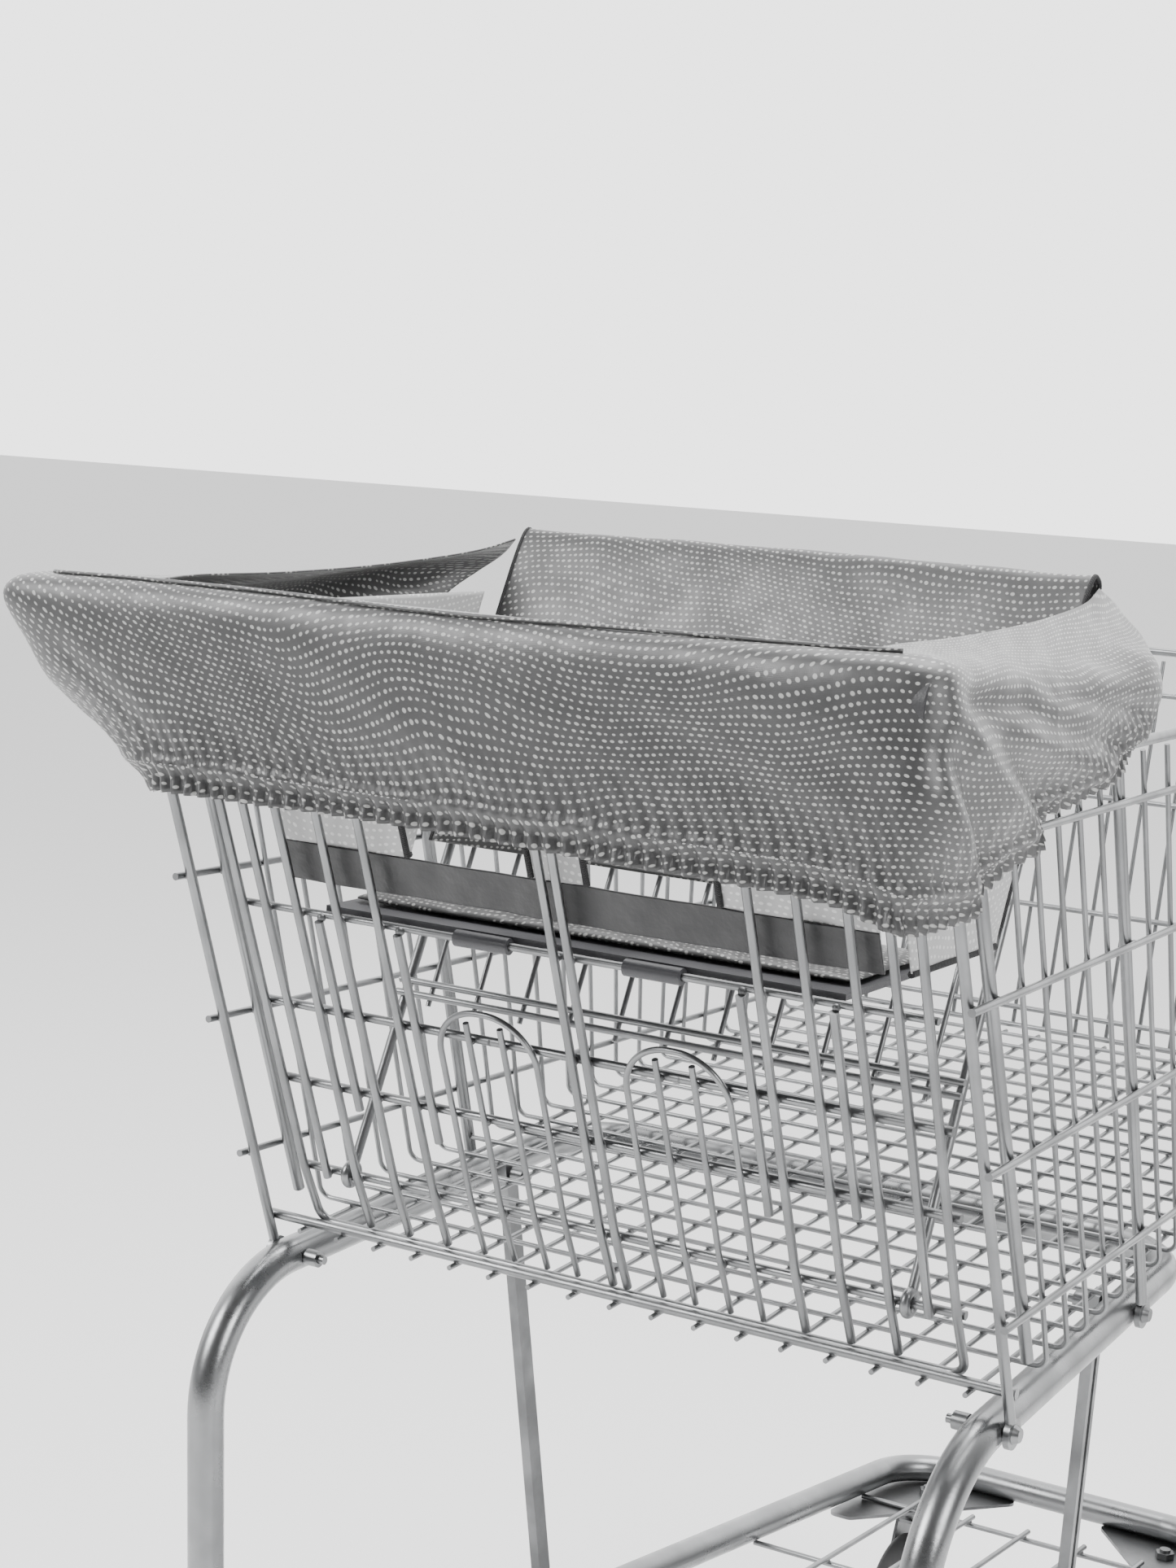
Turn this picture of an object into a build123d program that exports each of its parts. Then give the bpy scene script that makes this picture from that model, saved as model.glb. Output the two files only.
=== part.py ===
from build123d import *
from math import atan2, cos
import os

# A nesting supermarket cart with a fold-down child seat and a fabric seat cover.
# Millimetres. +X is the right-hand side seen from the handle, +Y is forward, +Z is up.
# The origin is on the floor, under the middle of the whole cart.
#
# Sizes in brackets such as (x, y, z) are first given from the rear floor rod of the
# basket, the rod that every other wire is welded to, and `place` moves them.

# ---------------------------------------------------------------- driving dimensions
rear_rod_height = 601.0        # rear floor rod above the floor
basket_half_width = 281.3      # middle of a rear post to the middle plane, at the floor rod
side_taper = 0.025             # each side comes in by this much for each mm forward
side_lean = 0.028              # and by this much for each mm up
floor_rise = 0.053             # the basket floor climbs forward, so that carts nest
floor_length = 800.0           # rear floor rod to the foot of the front panel
front_panel_lean = 0.17        # the front panel leans forward for each mm up
rear_lean = 0.393              # rear posts and gate lean back for each mm up
rim_height = 387.0             # top side rod above the rear floor rod
cross_wire_start = 54.0        # first floor cross wire, forward of the rear rod
cross_wire_pitch = 36.0
long_wire_pitch = 31.75
long_wire_count = 17
side_rod_heights = (50.5, 153.0, 255.5, 350.0)
mid_post_index = 5             # this cross wire is replaced by the bolted middle posts

# ------------------------------------------------------------------- wire and tube
thin_wire = 3.6 / 2
side_rod = 5.0 / 2
rim_rod = 7.0 / 2
post_wire = 7.0 / 2
second_post_wire = 8.2 / 2
mid_post_wire = 6.0 / 2
gate_wire = 6.0 / 2
arch_wire = 4.2 / 2
seat_wire = 6.8 / 2
tube = 25.4 / 2
tube_wall = 1.5
weld_gap = 0.06                # between crossing wires, where the weld bead sits
moving_gap = 0.35              # between wires that turn on each other

# ------------------------------------------------------------------------ chassis
rail_drop = 27.0               # side rail below the rear floor rod
leg_y = -91.0
leg_inset = 0.034              # the legs come in by this much for each mm down
leg_bend = 95.0
rail_front_y = 370.0
rail_corner = 55.0
lower_rear_drop = 373.0        # lower frame at the legs, below the rear rod
lower_front_drop = 430.0       # lower frame at its front tube
lower_front_y = 880.0
lower_half_width = 160.0
lower_corner = 62.0
support_bolt_y = 243.0
support_width = 15.0
support_depth = 8.0
bolt = 6.0 / 2
bolt_clearance = 0.3
tray_wire = 5.0 / 2
tray_pitch = 56.0

# ------------------------------------------------------------------------- wheels
wheel_radius = 62.5
crown_height = 2 * wheel_radius + 8    # underside of a fork's crown, above the floor
wheel_width = 30.0
tyre_thickness = 13.0
fork_gap = 38.0
fork_plate = 3.0
axle = 8.0 / 2
axle_fit = 0.05
trail = 36.0
kingpin = 10.0 / 2
race_radius = 24.0

# ---------------------------------------------------------------- handle and gate
handle_height = 434.0
handle_reach = 61.438          # handle behind the slope of the rear posts
handle_tube = 22.0 / 2
grip = 30.0 / 2
handle_half_length = 298.0
hinge_height = 430.0           # gate hinge rod above the rear floor rod
gate_offset = 11.0             # gate wires lie this far forward of the rear posts
gate_bend_height = 45.0        # the foot of the gate bends forward below this
gate_half_width = 247.0
gate_top_height = 405.0
gate_rod_heights = (170.0, 112.0)
pivot_rod_height = 44.0        # rod that the seat back swings on
bottom_rod_y = 8.5
bottom_rod_height = 0.4
centre_wire_x = 5.5
long_wires_x = (137.5, 169.5, 202.0)
arch_x = (33.0, 107.0)
arch_inner_x = (57.0, 83.0)
arch_top_height = 190.0
eye_x = 212.0

# --------------------------------------------------------------------- child seat
seat_top_y = 190.0
seat_top_height = 472.0
seat_top_x = 208.0
seat_low_height = 163.0
seat_wire_count = 11
pan_height = 240.0
pan_half_width = 188.0
pan_thickness = 4.0
pan_length = 140.0
pan_knuckle_x = 62.0           # the knuckles sit where no upright reaches

# -------------------------------------------------------------------- fabric cover
fabric = 3.0                   # thickness that stands for the folded cloth
cover_gap = 2.5                # cloth to whatever it lies on
hem_height = 312.0
side_hem_front_height = 372.0
side_cover_front_y = 118.0
cover_half_width = 304.0

handle_y = -rear_lean * handle_height - handle_reach
frame_front_y = lower_front_y + tube
skirt_rear_y = handle_y - grip - cover_gap - fabric
rear_rod_y = -(frame_front_y + skirt_rear_y) / 2


# --------------------------------------------------------------------------- places
def place(x, y, z):
    """A point given from the rear floor rod, in the part's own frame."""
    return Vector(x, rear_rod_y + y, rear_rod_height + z)


def side(y, z):
    """Half width of the basket at the middle of the rear posts."""
    return basket_half_width - side_taper * y - side_lean * z


def floor_z(y):
    """Middle of the long floor wires, which pass under the rear rod."""
    return -(post_wire + thin_wire + weld_gap) + floor_rise * y


def cross_z(y):
    """Middle of the floor cross wires, which lie on the long wires."""
    return floor_z(y) + 2 * thin_wire + weld_gap


def rail_z(y):
    return -rail_drop + floor_rise * y


def post_y(z):
    """Middle of the rear posts, which stand just behind the rear rod."""
    return -(2 * post_wire + weld_gap) / cos(atan2(rear_lean, 1)) - rear_lean * z


def gate_y(z):
    """Middle of the gate's upright wires above their bend."""
    return post_y(z) + gate_offset


rod_x_offset = post_wire + side_rod + weld_gap
wire_x_offset = rod_x_offset - side_rod - thin_wire - weld_gap
second_x_offset = rod_x_offset - side_rod - second_post_wire - weld_gap
mid_x_offset = rod_x_offset - side_rod - mid_post_wire - weld_gap
eyelet_thickness = 4.0
eyelet_gap = 0.4               # the rails taper, and the eyelets are flat


def rail_x(y):
    return side(y, rail_z(y)) - eyelet_thickness / 2 - eyelet_gap - tube


def front_y(z):
    """Middle of the front panel's upright wires."""
    return floor_length + front_panel_lean * (z - floor_z(floor_length))


# -------------------------------------------------------------------- shared shapes
def rod(start, end, radius):
    """A straight round wire."""
    length = (end - start).length
    with Locations(Plane(origin=start, z_dir=end - start).location):
        Cylinder(radius, length, align=(Align.CENTER, Align.CENTER, Align.MIN))


def bent_rod(points, radius, bends, bore=0):
    """A round wire, or a tube where there is a bore, bent at each inner point."""
    with BuildLine() as path:
        FilletPolyline(*points, radius=bends)
    with BuildSketch(Plane(origin=path.line @ 0, z_dir=path.line % 0)) as section:
        Circle(radius)
        if bore:
            Circle(bore, mode=Mode.SUBTRACT)
    sweep(section.sketch, path.line)


def disc(centre, axis, radius, thickness, mode=Mode.ADD):
    """A round plate or hole centred on a point."""
    with Locations(Plane(origin=centre, z_dir=axis).location):
        Cylinder(radius, thickness, mode=mode)


def save(builder, name):
    builder.part.label = name
    export_step(builder.part, f"parts/{name}.step")


os.makedirs("parts", exist_ok=True)
across = Vector(1, 0, 0)
up = Vector(0, 0, 1)
sides = (("left", -1), ("right", 1))

# ------------------------------------------------------------------- basket, floor
last_long_x = long_wire_pitch * (long_wire_count - 1) / 2
with BuildPart() as floor_long_wires:
    for index in range(long_wire_count):
        x = index * long_wire_pitch - last_long_x
        rod(place(x, -8, floor_z(-8)), place(x, floor_length - 4, floor_z(floor_length - 4)), thin_wire)
save(floor_long_wires, "floor_long_wires")

with BuildPart() as rear_floor_rod:
    rod(place(-basket_half_width - 3, 0, 0), place(basket_half_width + 3, 0, 0), post_wire)
save(rear_floor_rod, "rear_floor_rod")

# Each cross wire is one bent wire: a side upright, the floor, and the other upright.
# It is cut at the foot of its uprights, so that the basket stays open inside.
corner = 9.0
cross_wire_count = int((floor_length - cross_wire_start - 12) / cross_wire_pitch) + 1
cross_wires = [cross_wire_start + index * cross_wire_pitch for index in range(cross_wire_count)]
upright_top = rim_height - rim_rod - 4


def upright_lean(y):
    """Uprights lean back at the rear and forward at the front."""
    share = max(0.0, min(1.0, (y - 240) / (floor_length - 240)))
    return 0.33 * (1 - share) - (front_panel_lean - 0.02) * share


def upright_foot(y):
    return side(y, cross_z(y)) + wire_x_offset


with BuildPart() as floor_cross_wires:
    for index, y in enumerate(cross_wires):
        half = upright_foot(y) - corner
        if index == mid_post_index:
            half = side(y, cross_z(y)) + mid_x_offset - mid_post_wire - 1
        rod(place(-half, y, cross_z(y)), place(half, y, cross_z(y)), thin_wire)
save(floor_cross_wires, "floor_cross_wires")

for name, sign in sides:
    with BuildPart() as uprights:
        for index, y in enumerate(cross_wires):
            if index == mid_post_index:
                continue
            foot = upright_foot(y)
            height = upright_top - cross_z(y)
            top_y = y - upright_lean(y) * height
            top_x = side(top_y, upright_top) + wire_x_offset
            bent_rod(
                [
                    place(sign * (foot - corner), y, cross_z(y)),
                    place(sign * foot, y, cross_z(y)),
                    place(sign * top_x, top_y, cross_z(y) + height),
                ],
                thin_wire,
                corner - 0.5,
            )
    save(uprights, f"side_wires_{name}")

# -------------------------------------------------------------------- basket, sides
rod_overhang = 9.0
with BuildPart() as side_rods:
    for z in side_rod_heights:
        start_y = post_y(z) - rod_overhang
        end_y = front_y(z) + 4
        for sign in (-1, 1):
            rod(
                place(sign * (side(start_y, z) + rod_x_offset), start_y, z),
                place(sign * (side(end_y, z) + rod_x_offset), end_y, z),
                side_rod,
            )
save(side_rods, "side_rods")

rim_x_offset = post_wire + rim_rod + weld_gap
with BuildPart() as rim_rods:
    start_y = post_y(rim_height) - rod_overhang
    end_y = front_y(rim_height) + 5
    for sign in (-1, 1):
        rod(
            place(sign * (side(start_y, rim_height) + rim_x_offset), start_y, rim_height),
            place(sign * (side(end_y, rim_height) + rim_x_offset), end_y, rim_height),
            rim_rod,
        )
    y = front_y(rim_height) + rim_rod + thin_wire + weld_gap
    half = side(y, rim_height) + rim_x_offset - rim_rod - weld_gap
    rod(place(-half, y, rim_height), place(half, y, rim_height), rim_rod)
save(rim_rods, "rim_rods")

eyelet_radius = 10.0
bolt_head = 6.5
post_start = bolt_head + 2.4   # the wire is flattened below this, above its bolt
post_foot_z = -rail_drop
with BuildPart() as rear_posts:
    for sign in (-1, 1):
        top_z = hinge_height + 13
        low_z = post_foot_z + post_start
        foot = place(sign * side(post_y(post_foot_z), post_foot_z), post_y(post_foot_z), post_foot_z)
        rod(
            place(sign * side(post_y(low_z), low_z), post_y(low_z), low_z),
            place(sign * side(post_y(top_z), top_z), post_y(top_z), top_z),
            post_wire,
        )
        disc(foot, across, eyelet_radius, eyelet_thickness)
        disc(foot, across, bolt + bolt_clearance, eyelet_thickness + 8, Mode.SUBTRACT)
save(rear_posts, "rear_posts")

second_post_y = 24.0
second_post_foot = 14.0
with BuildPart() as second_posts:
    for sign in (-1, 1):
        top_z = rim_height - rim_rod - 2
        top_y = second_post_y - 0.40 * (top_z - second_post_foot)
        rod(
            place(sign * (side(second_post_y, second_post_foot) + second_x_offset),
                  second_post_y, second_post_foot),
            place(sign * (side(top_y, top_z) + second_x_offset), top_y, top_z),
            second_post_wire,
        )
save(second_posts, "second_posts")

mid_foot_y = support_bolt_y
mid_foot_z = rail_z(support_bolt_y)
mid_lean = 0.33
with BuildPart() as middle_posts:
    for sign in (-1, 1):
        foot_x = rail_x(mid_foot_y) + tube + eyelet_gap + eyelet_thickness / 2
        bolt_centre = place(sign * foot_x, mid_foot_y, mid_foot_z)
        for step in (-1, 1):
            foot_y = mid_foot_y + step * (mid_post_wire - 0.2)
            top_z = rim_height - rim_rod - 2
            top_y = foot_y - mid_lean * (top_z - mid_foot_z)
            rod(
                place(sign * foot_x, foot_y - mid_lean * post_start, mid_foot_z + post_start),
                place(sign * (side(top_y, top_z) + mid_x_offset), top_y, top_z),
                mid_post_wire,
            )
        disc(bolt_centre, across, eyelet_radius, eyelet_thickness)
        disc(bolt_centre, across, bolt + bolt_clearance, eyelet_thickness + 8, Mode.SUBTRACT)
save(middle_posts, "middle_posts")

# -------------------------------------------------------------------- basket, front
front_rod_heights = (60.0, 153.0, 255.5, 350.0)
front_rod_offset = thin_wire + side_rod + weld_gap
with BuildPart() as front_wires:
    for index in range(long_wire_count):
        x = (index * long_wire_pitch - last_long_x) * 0.94
        foot_z = floor_z(floor_length) + thin_wire + 2
        rod(place(x, front_y(foot_z), foot_z), place(x, front_y(upright_top), upright_top), thin_wire)
save(front_wires, "front_wires")

with BuildPart() as front_rods:
    for z in front_rod_heights:
        y = front_y(z) - front_rod_offset - 1
        half = side(y, z) + wire_x_offset - thin_wire - 1.5
        rod(place(-half, y, z), place(half, y, z), side_rod)
    foot_y = floor_length + 6 + thin_wire
    half = side(foot_y, 0) - corner - 4
    foot_z = cross_z(foot_y) + 2.6
    rod(place(-half, foot_y - 12, foot_z), place(half, foot_y - 12, foot_z), side_rod)
save(front_rods, "front_rods")

# ------------------------------------------------------------------- chassis, tubes
bore = tube - tube_wall
leg_bottom = rear_rod_height - crown_height - fork_plate - 0.6
leg_top_x = rail_x(leg_y)


def leg_x(z):
    return leg_top_x + leg_inset * (z - rail_z(leg_y))


leg_foot = -leg_bottom
upper_points = [
    place(-leg_x(leg_foot), leg_y, leg_foot),
    place(-leg_top_x, leg_y, rail_z(leg_y)),
    place(-rail_x(rail_front_y), rail_front_y, rail_z(rail_front_y)),
]
upper_points += [Vector(-p.X, p.Y, p.Z) for p in reversed(upper_points)]
with BuildPart() as upper_frame_tube:
    bent_rod(upper_points, tube, [leg_bend, rail_corner, rail_corner, leg_bend], bore)
    for sign in (-1, 1):
        for y in (post_y(post_foot_z), support_bolt_y):
            bolt_centre = place(sign * rail_x(y), y, rail_z(y))
            disc(bolt_centre, across, bolt + bolt_clearance, 4 * tube, Mode.SUBTRACT)
save(upper_frame_tube, "upper_frame_tube")

lower_rear = place(-leg_x(-lower_rear_drop), leg_y, -lower_rear_drop)
lower_front = place(-lower_half_width, lower_front_y, -lower_front_drop)
lower_start = lower_rear + (lower_front - lower_rear).normalized() * (tube + 1.6)
lower_points = [lower_start, lower_front]
lower_points += [Vector(-p.X, p.Y, p.Z) for p in reversed(lower_points)]
with BuildPart() as lower_frame_tube:
    bent_rod(lower_points, tube, lower_corner, bore)
save(lower_frame_tube, "lower_frame_tube")


def lower_share(y):
    return (y - leg_y) / (lower_front_y - leg_y)


def lower_x(y):
    return leg_x(-lower_rear_drop) + (lower_half_width - leg_x(-lower_rear_drop)) * lower_share(y)


def lower_z(y):
    return -lower_rear_drop - (lower_front_drop - lower_rear_drop) * lower_share(y)


# ----------------------------------------------------------- chassis, bolted pieces
support_foot_y = 292.0
with BuildPart() as front_supports:
    for sign in (-1, 1):
        top = place(sign * (rail_x(support_bolt_y) - tube - support_depth / 2 - 0.2),
                    support_bolt_y - 1.5, rail_z(support_bolt_y) + 9)
        foot = place(sign * lower_x(support_foot_y), support_foot_y, lower_z(support_foot_y) + tube + 2)
        with BuildSketch(Plane(origin=foot, x_dir=(0, 1, 0), z_dir=top - foot)):
            Rectangle(support_width, support_depth)
            with Locations((0, -sign * support_depth / 2)):
                Rectangle(support_width / 3, support_depth / 3, mode=Mode.SUBTRACT)
        extrude(amount=(top - foot).length)
        disc(place(sign * rail_x(support_bolt_y), support_bolt_y, rail_z(support_bolt_y)), across,
             bolt + bolt_clearance, 6 * tube, Mode.SUBTRACT)
save(front_supports, "front_supports")

cross_bar_y = 300.0
cross_bar_height = 22.0
with BuildPart() as frame_cross_bar:
    top_z = floor_z(cross_bar_y) - thin_wire - 1
    half = rail_x(cross_bar_y) - tube - 0.3
    with Locations(place(0, cross_bar_y, top_z - 2)):
        Box(2 * half, cross_bar_height, 4)
save(frame_cross_bar, "frame_cross_bar")

# One bolt holds each rear post, and one each pair of middle posts and its support.
spacer = 6.0
bolt_places = [(post_y(post_foot_z), post_foot_z, 0), (support_bolt_y, mid_foot_z, support_depth + 2.4)]
with BuildPart() as frame_bolts:
    for sign in (-1, 1):
        for y, z, packing in bolt_places:
            outer = rail_x(y) + tube + eyelet_gap + eyelet_thickness + 0.1
            inner = rail_x(y) - tube - packing - 15
            rod(place(sign * inner, y, z), place(sign * outer, y, z), bolt)
            with BuildSketch(Plane(origin=place(sign * outer, y, z), z_dir=(sign, 0, 0))):
                Circle(bolt_head)
            extrude(amount=4, taper=28)
save(frame_bolts, "frame_bolts")

with BuildPart() as bolt_spacers:
    for sign in (-1, 1):
        for y, z, packing in bolt_places:
            middle = rail_x(y) - tube - packing - 0.3 - 5
            disc(place(sign * middle, y, z), across, spacer, 10)
            disc(place(sign * middle, y, z), across, bolt + bolt_clearance, 12, Mode.SUBTRACT)
save(bolt_spacers, "bolt_spacers")

# --------------------------------------------------------------------- lower tray
tray_rear_y = 40.0
tray_front_y = 790.0
tray_cross_wires = 5
tray_drop = tube + tray_wire + weld_gap
with BuildPart() as tray_wires:
    for index in range(tray_cross_wires):
        y = tray_rear_y + (tray_front_y - tray_rear_y) * index / (tray_cross_wires - 1)
        half = lower_x(y) - 2
        z = lower_z(y) - tray_drop
        rod(place(-half, y, z), place(half, y, z), tray_wire)
    for index in range(-3, 4):
        x = index * tray_pitch
        start_y = tray_rear_y - 10
        end_y = tray_front_y + 10
        while lower_x(end_y) < abs(x) + 2 * tube:
            end_y -= (tray_front_y - tray_rear_y) / (tray_cross_wires - 1)
        lift = 2 * tray_wire + weld_gap - tray_drop
        rod(place(x, start_y, lower_z(start_y) + lift), place(x, end_y, lower_z(end_y) + lift), tray_wire)
save(tray_wires, "tray_wires")

# -------------------------------------------------------------- wheels and casters
# Heights in this block are above the floor.
hub_radius = 14.0
rim_radius = wheel_radius - tyre_thickness


def wheel_at(centre, name):
    """A moulded wheel with a hub, a web and a rim, and its rubber tyre."""
    with BuildPart() as wheel:
        with BuildSketch(Plane.YZ):
            Circle(rim_radius)
            Circle(rim_radius - 5, mode=Mode.SUBTRACT)
        extrude(amount=wheel_width / 2 - 2, both=True)
        with BuildSketch(Plane.YZ):
            Circle(hub_radius)
        extrude(amount=wheel_width / 2, both=True)
        with BuildSketch(Plane.YZ):
            Circle(rim_radius - 2)
        extrude(amount=3, both=True)
        with BuildSketch(Plane.YZ):
            with PolarLocations((hub_radius + rim_radius) / 2 - 2, 6):
                Rectangle(rim_radius - hub_radius - 2, 4)
        extrude(amount=wheel_width / 2 - 5, both=True)
        with BuildSketch(Plane.YZ):
            Circle(axle + axle_fit)
        extrude(amount=wheel_width, both=True, mode=Mode.SUBTRACT)
    with BuildPart() as tyre:
        with BuildSketch(Plane.YZ):
            Circle(wheel_radius)
            Circle(rim_radius, mode=Mode.SUBTRACT)
        extrude(amount=wheel_width / 2, both=True)
        fillet(tyre.edges().filter_by(GeomType.CIRCLE).group_by(SortBy.RADIUS)[-1], 6)
    wheel.part = wheel.part.moved(Location(centre))
    tyre.part = tyre.part.moved(Location(centre))
    wheel.part.label, tyre.part.label = f"wheel_{name}", f"tyre_{name}"
    export_step(wheel.part, f"parts/wheel_{name}.step")
    export_step(tyre.part, f"parts/tyre_{name}.step")


def fork_shape(centre, crown_centre, crown_width, stem):
    """A pressed fork: two arms over the wheel, joined by a crown."""
    arm_x = fork_gap / 2 + fork_plate / 2
    crown_z = crown_height + fork_plate / 2
    for sign in (-1, 1):
        arm_plane = Plane(origin=(centre.X + sign * arm_x, 0, 0), x_dir=(0, 1, 0), z_dir=(1, 0, 0))
        with BuildSketch(arm_plane) as arm:
            with BuildLine():
                Polyline(
                    (centre.Y - 13, centre.Z),
                    (crown_centre.Y - crown_width / 2, crown_height + fork_plate),
                    (crown_centre.Y + crown_width / 2, crown_height + fork_plate),
                    (centre.Y + 13, centre.Z),
                    close=True,
                )
            make_face()
            with Locations((centre.Y, centre.Z)):
                Circle(13)
        extrude(arm.sketch, fork_plate / 2, both=True)
    with Locations((crown_centre.X, crown_centre.Y, crown_z)):
        Box(fork_gap + 2 * fork_plate, crown_width, fork_plate)
    disc(Vector(centre.X, centre.Y, centre.Z), across, axle + axle_fit, 3 * fork_gap, Mode.SUBTRACT)
    if stem:
        with Locations((crown_centre.X, crown_centre.Y, crown_height + fork_plate)):
            Cylinder(bore - 1.1, stem, align=(Align.CENTER, Align.CENTER, Align.MIN))


def axle_shape(centre):
    half = fork_gap / 2 + fork_plate
    disc(centre, across, axle, 2 * half + 8)
    for sign in (-1, 1):
        with BuildSketch(Plane(origin=centre + Vector(sign * half, 0, 0), z_dir=(sign, 0, 0))) as nut:
            RegularPolygon(6.5, 6)
        extrude(nut.sketch, 5)


rear_axle_centres = [Vector(sign * leg_x(leg_foot), rear_rod_y + leg_y, wheel_radius) for sign in (-1, 1)]
with BuildPart() as rear_forks:
    for centre in rear_axle_centres:
        fork_shape(centre, centre, 32, 24)
save(rear_forks, "rear_forks")

with BuildPart() as rear_axles:
    for centre in rear_axle_centres:
        axle_shape(centre)
save(rear_axles, "rear_axles")

wheel_at(rear_axle_centres[0], "rear_left")
wheel_at(rear_axle_centres[1], "rear_right")

plate_thickness = 3.0
plate_top = rear_rod_height - lower_front_drop - tube - 0.1
kingpin_inset = 40.0
fork_top = crown_height + fork_plate
race_height = plate_top - plate_thickness - fork_top
race_gap = 0.6
race_middle = plate_top - plate_thickness - race_gap - 0.25 * race_height
kingpin_bore = 2 * (plate_top - crown_height) + 30
pins = [
    Vector(sign * (lower_half_width - kingpin_inset), rear_rod_y + lower_front_y - kingpin_inset, 0)
    for sign in (-1, 1)
]

with BuildPart() as caster_plates:
    for pin in pins:
        sign = 1 if pin.X > 0 else -1
        with BuildSketch(Plane.XY.offset(plate_top - plate_thickness)):
            with BuildLine():
                Polyline(
                    (pin.X + sign * 44, pin.Y + 42),
                    (pin.X - sign * 84, pin.Y + 42),
                    (pin.X + sign * 36, pin.Y - 100),
                    (pin.X + sign * 60, pin.Y - 100),
                    close=True,
                )
            make_face()
        extrude(amount=plate_thickness)
    fillet(caster_plates.edges().filter_by(Axis.Z), 8)
    for pin in pins:
        disc(pin + Vector(0, 0, plate_top), up, kingpin + bolt_clearance, 20, Mode.SUBTRACT)
save(caster_plates, "caster_plates")

with BuildPart() as caster_races:
    for pin in pins:
        disc(pin + Vector(0, 0, race_middle), up, race_radius, 0.5 * race_height)
        disc(pin + Vector(0, 0, plate_top), up, kingpin + bolt_clearance, kingpin_bore, Mode.SUBTRACT)
save(caster_races, "caster_races")

with BuildPart() as caster_kingpins:
    for pin in pins:
        low = crown_height - 4
        rod(pin + Vector(0, 0, low), pin + Vector(0, 0, plate_top + 9), kingpin)
        with BuildSketch(Plane.XY.offset(plate_top + 0.3)):
            with Locations((pin.X, pin.Y)):
                RegularPolygon(9, 6)
        extrude(amount=6)
        disc(pin + Vector(0, 0, low - 0.1), up, 9, 6)
save(caster_kingpins, "caster_kingpins")

for name, pin in zip(("left", "right"), pins):
    front_axle = Vector(pin.X, pin.Y - trail, wheel_radius)
    with BuildPart() as caster_fork:
        fork_shape(front_axle, pin, 44, 0)
        disc(pin + Vector(0, 0, fork_top + 0.2 * race_height), up, race_radius - 4, 0.4 * race_height)
        disc(pin + Vector(0, 0, plate_top), up, kingpin + moving_gap, kingpin_bore, Mode.SUBTRACT)
    save(caster_fork, f"caster_fork_{name}")
    with BuildPart() as front_axle_bolt:
        axle_shape(front_axle)
    save(front_axle_bolt, f"front_axle_{name}")
    wheel_at(front_axle, f"front_{name}")

# --------------------------------------------------------------------------- handle
bracket_thickness = 4.0
bracket_x = side(post_y(hinge_height), hinge_height) + post_wire + bracket_thickness / 2 + 1
handle_centre = place(0, handle_y, handle_height)
with BuildPart() as handle_bar:
    disc(handle_centre, across, handle_tube, 2 * handle_half_length - 6)
    disc(handle_centre, across, handle_tube - tube_wall, 2 * handle_half_length, Mode.SUBTRACT)
save(handle_bar, "handle_bar")

grip_half = bracket_x - bracket_thickness / 2 - 0.3
with BuildPart() as handle_grip:
    disc(handle_centre, across, grip, 2 * grip_half)
    fillet(handle_grip.edges(), 2)
    disc(handle_centre, across, handle_tube + 0.1, 2 * handle_half_length, Mode.SUBTRACT)
save(handle_grip, "handle_grip")

with BuildPart() as handle_end_caps:
    for sign in (-1, 1):
        inner = bracket_x + bracket_thickness / 2 + 0.3
        with BuildSketch(Plane(origin=handle_centre + Vector(sign * inner, 0, 0), z_dir=(sign, 0, 0))):
            Circle(grip)
            Circle(handle_tube + 0.1, mode=Mode.SUBTRACT)
        extrude(amount=handle_half_length - inner - 2.5)
        with BuildSketch(Plane(origin=handle_centre + Vector(sign * (handle_half_length - 2.6), 0, 0),
                               z_dir=(sign, 0, 0))):
            Circle(grip)
        extrude(amount=2.6)
save(handle_end_caps, "handle_end_caps")

post_top = place(0, post_y(hinge_height), hinge_height)
with BuildPart() as handle_brackets:
    for sign in (-1, 1):
        with BuildSketch(Plane(origin=(sign * bracket_x, 0, 0), x_dir=(0, 1, 0), z_dir=(1, 0, 0))):
            with BuildLine():
                Polyline(
                    (handle_centre.Y - 12, handle_centre.Z + 12),
                    (handle_centre.Y - 12, handle_centre.Z - 12),
                    (post_top.Y - 3, post_top.Z - 34),
                    (post_top.Y + 26, post_top.Z - 30),
                    (post_top.Y + 14, post_top.Z + 20),
                    close=True,
                )
            make_face()
            with Locations((handle_centre.Y, handle_centre.Z)):
                Circle(handle_tube + 4.5)
                Circle(handle_tube + 0.1, mode=Mode.SUBTRACT)
        extrude(amount=bracket_thickness / 2, both=True)
save(handle_brackets, "handle_brackets")

hinge_rod = 7.0 / 2
hinge_y = gate_y(hinge_height)
with BuildPart() as gate_hinge_rod:
    half = bracket_x - bracket_thickness / 2 - 0.1
    rod(place(-half, hinge_y, hinge_height), place(half, hinge_y, hinge_height), hinge_rod)
save(gate_hinge_rod, "gate_hinge_rod")

# --------------------------------------------------------------------- rear gate
bottom_rod = place(0, bottom_rod_y, bottom_rod_height)
bend_point = place(0, gate_y(gate_bend_height), gate_bend_height)
foot_direction = (bend_point - bottom_rod).normalized()
gate_foot = bottom_rod + foot_direction * (2 * gate_wire + 0.3)


def gate_point(x, z):
    return place(x, gate_y(z), z)


def gate_upright(x, top, radius):
    """A gate wire from a height down to the bottom rod, bent near its foot."""
    bend = Vector(x, bend_point.Y, bend_point.Z)
    foot = Vector(x, gate_foot.Y, gate_foot.Z)
    bent_rod([gate_point(x, top), bend, foot], radius, 60)


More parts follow.
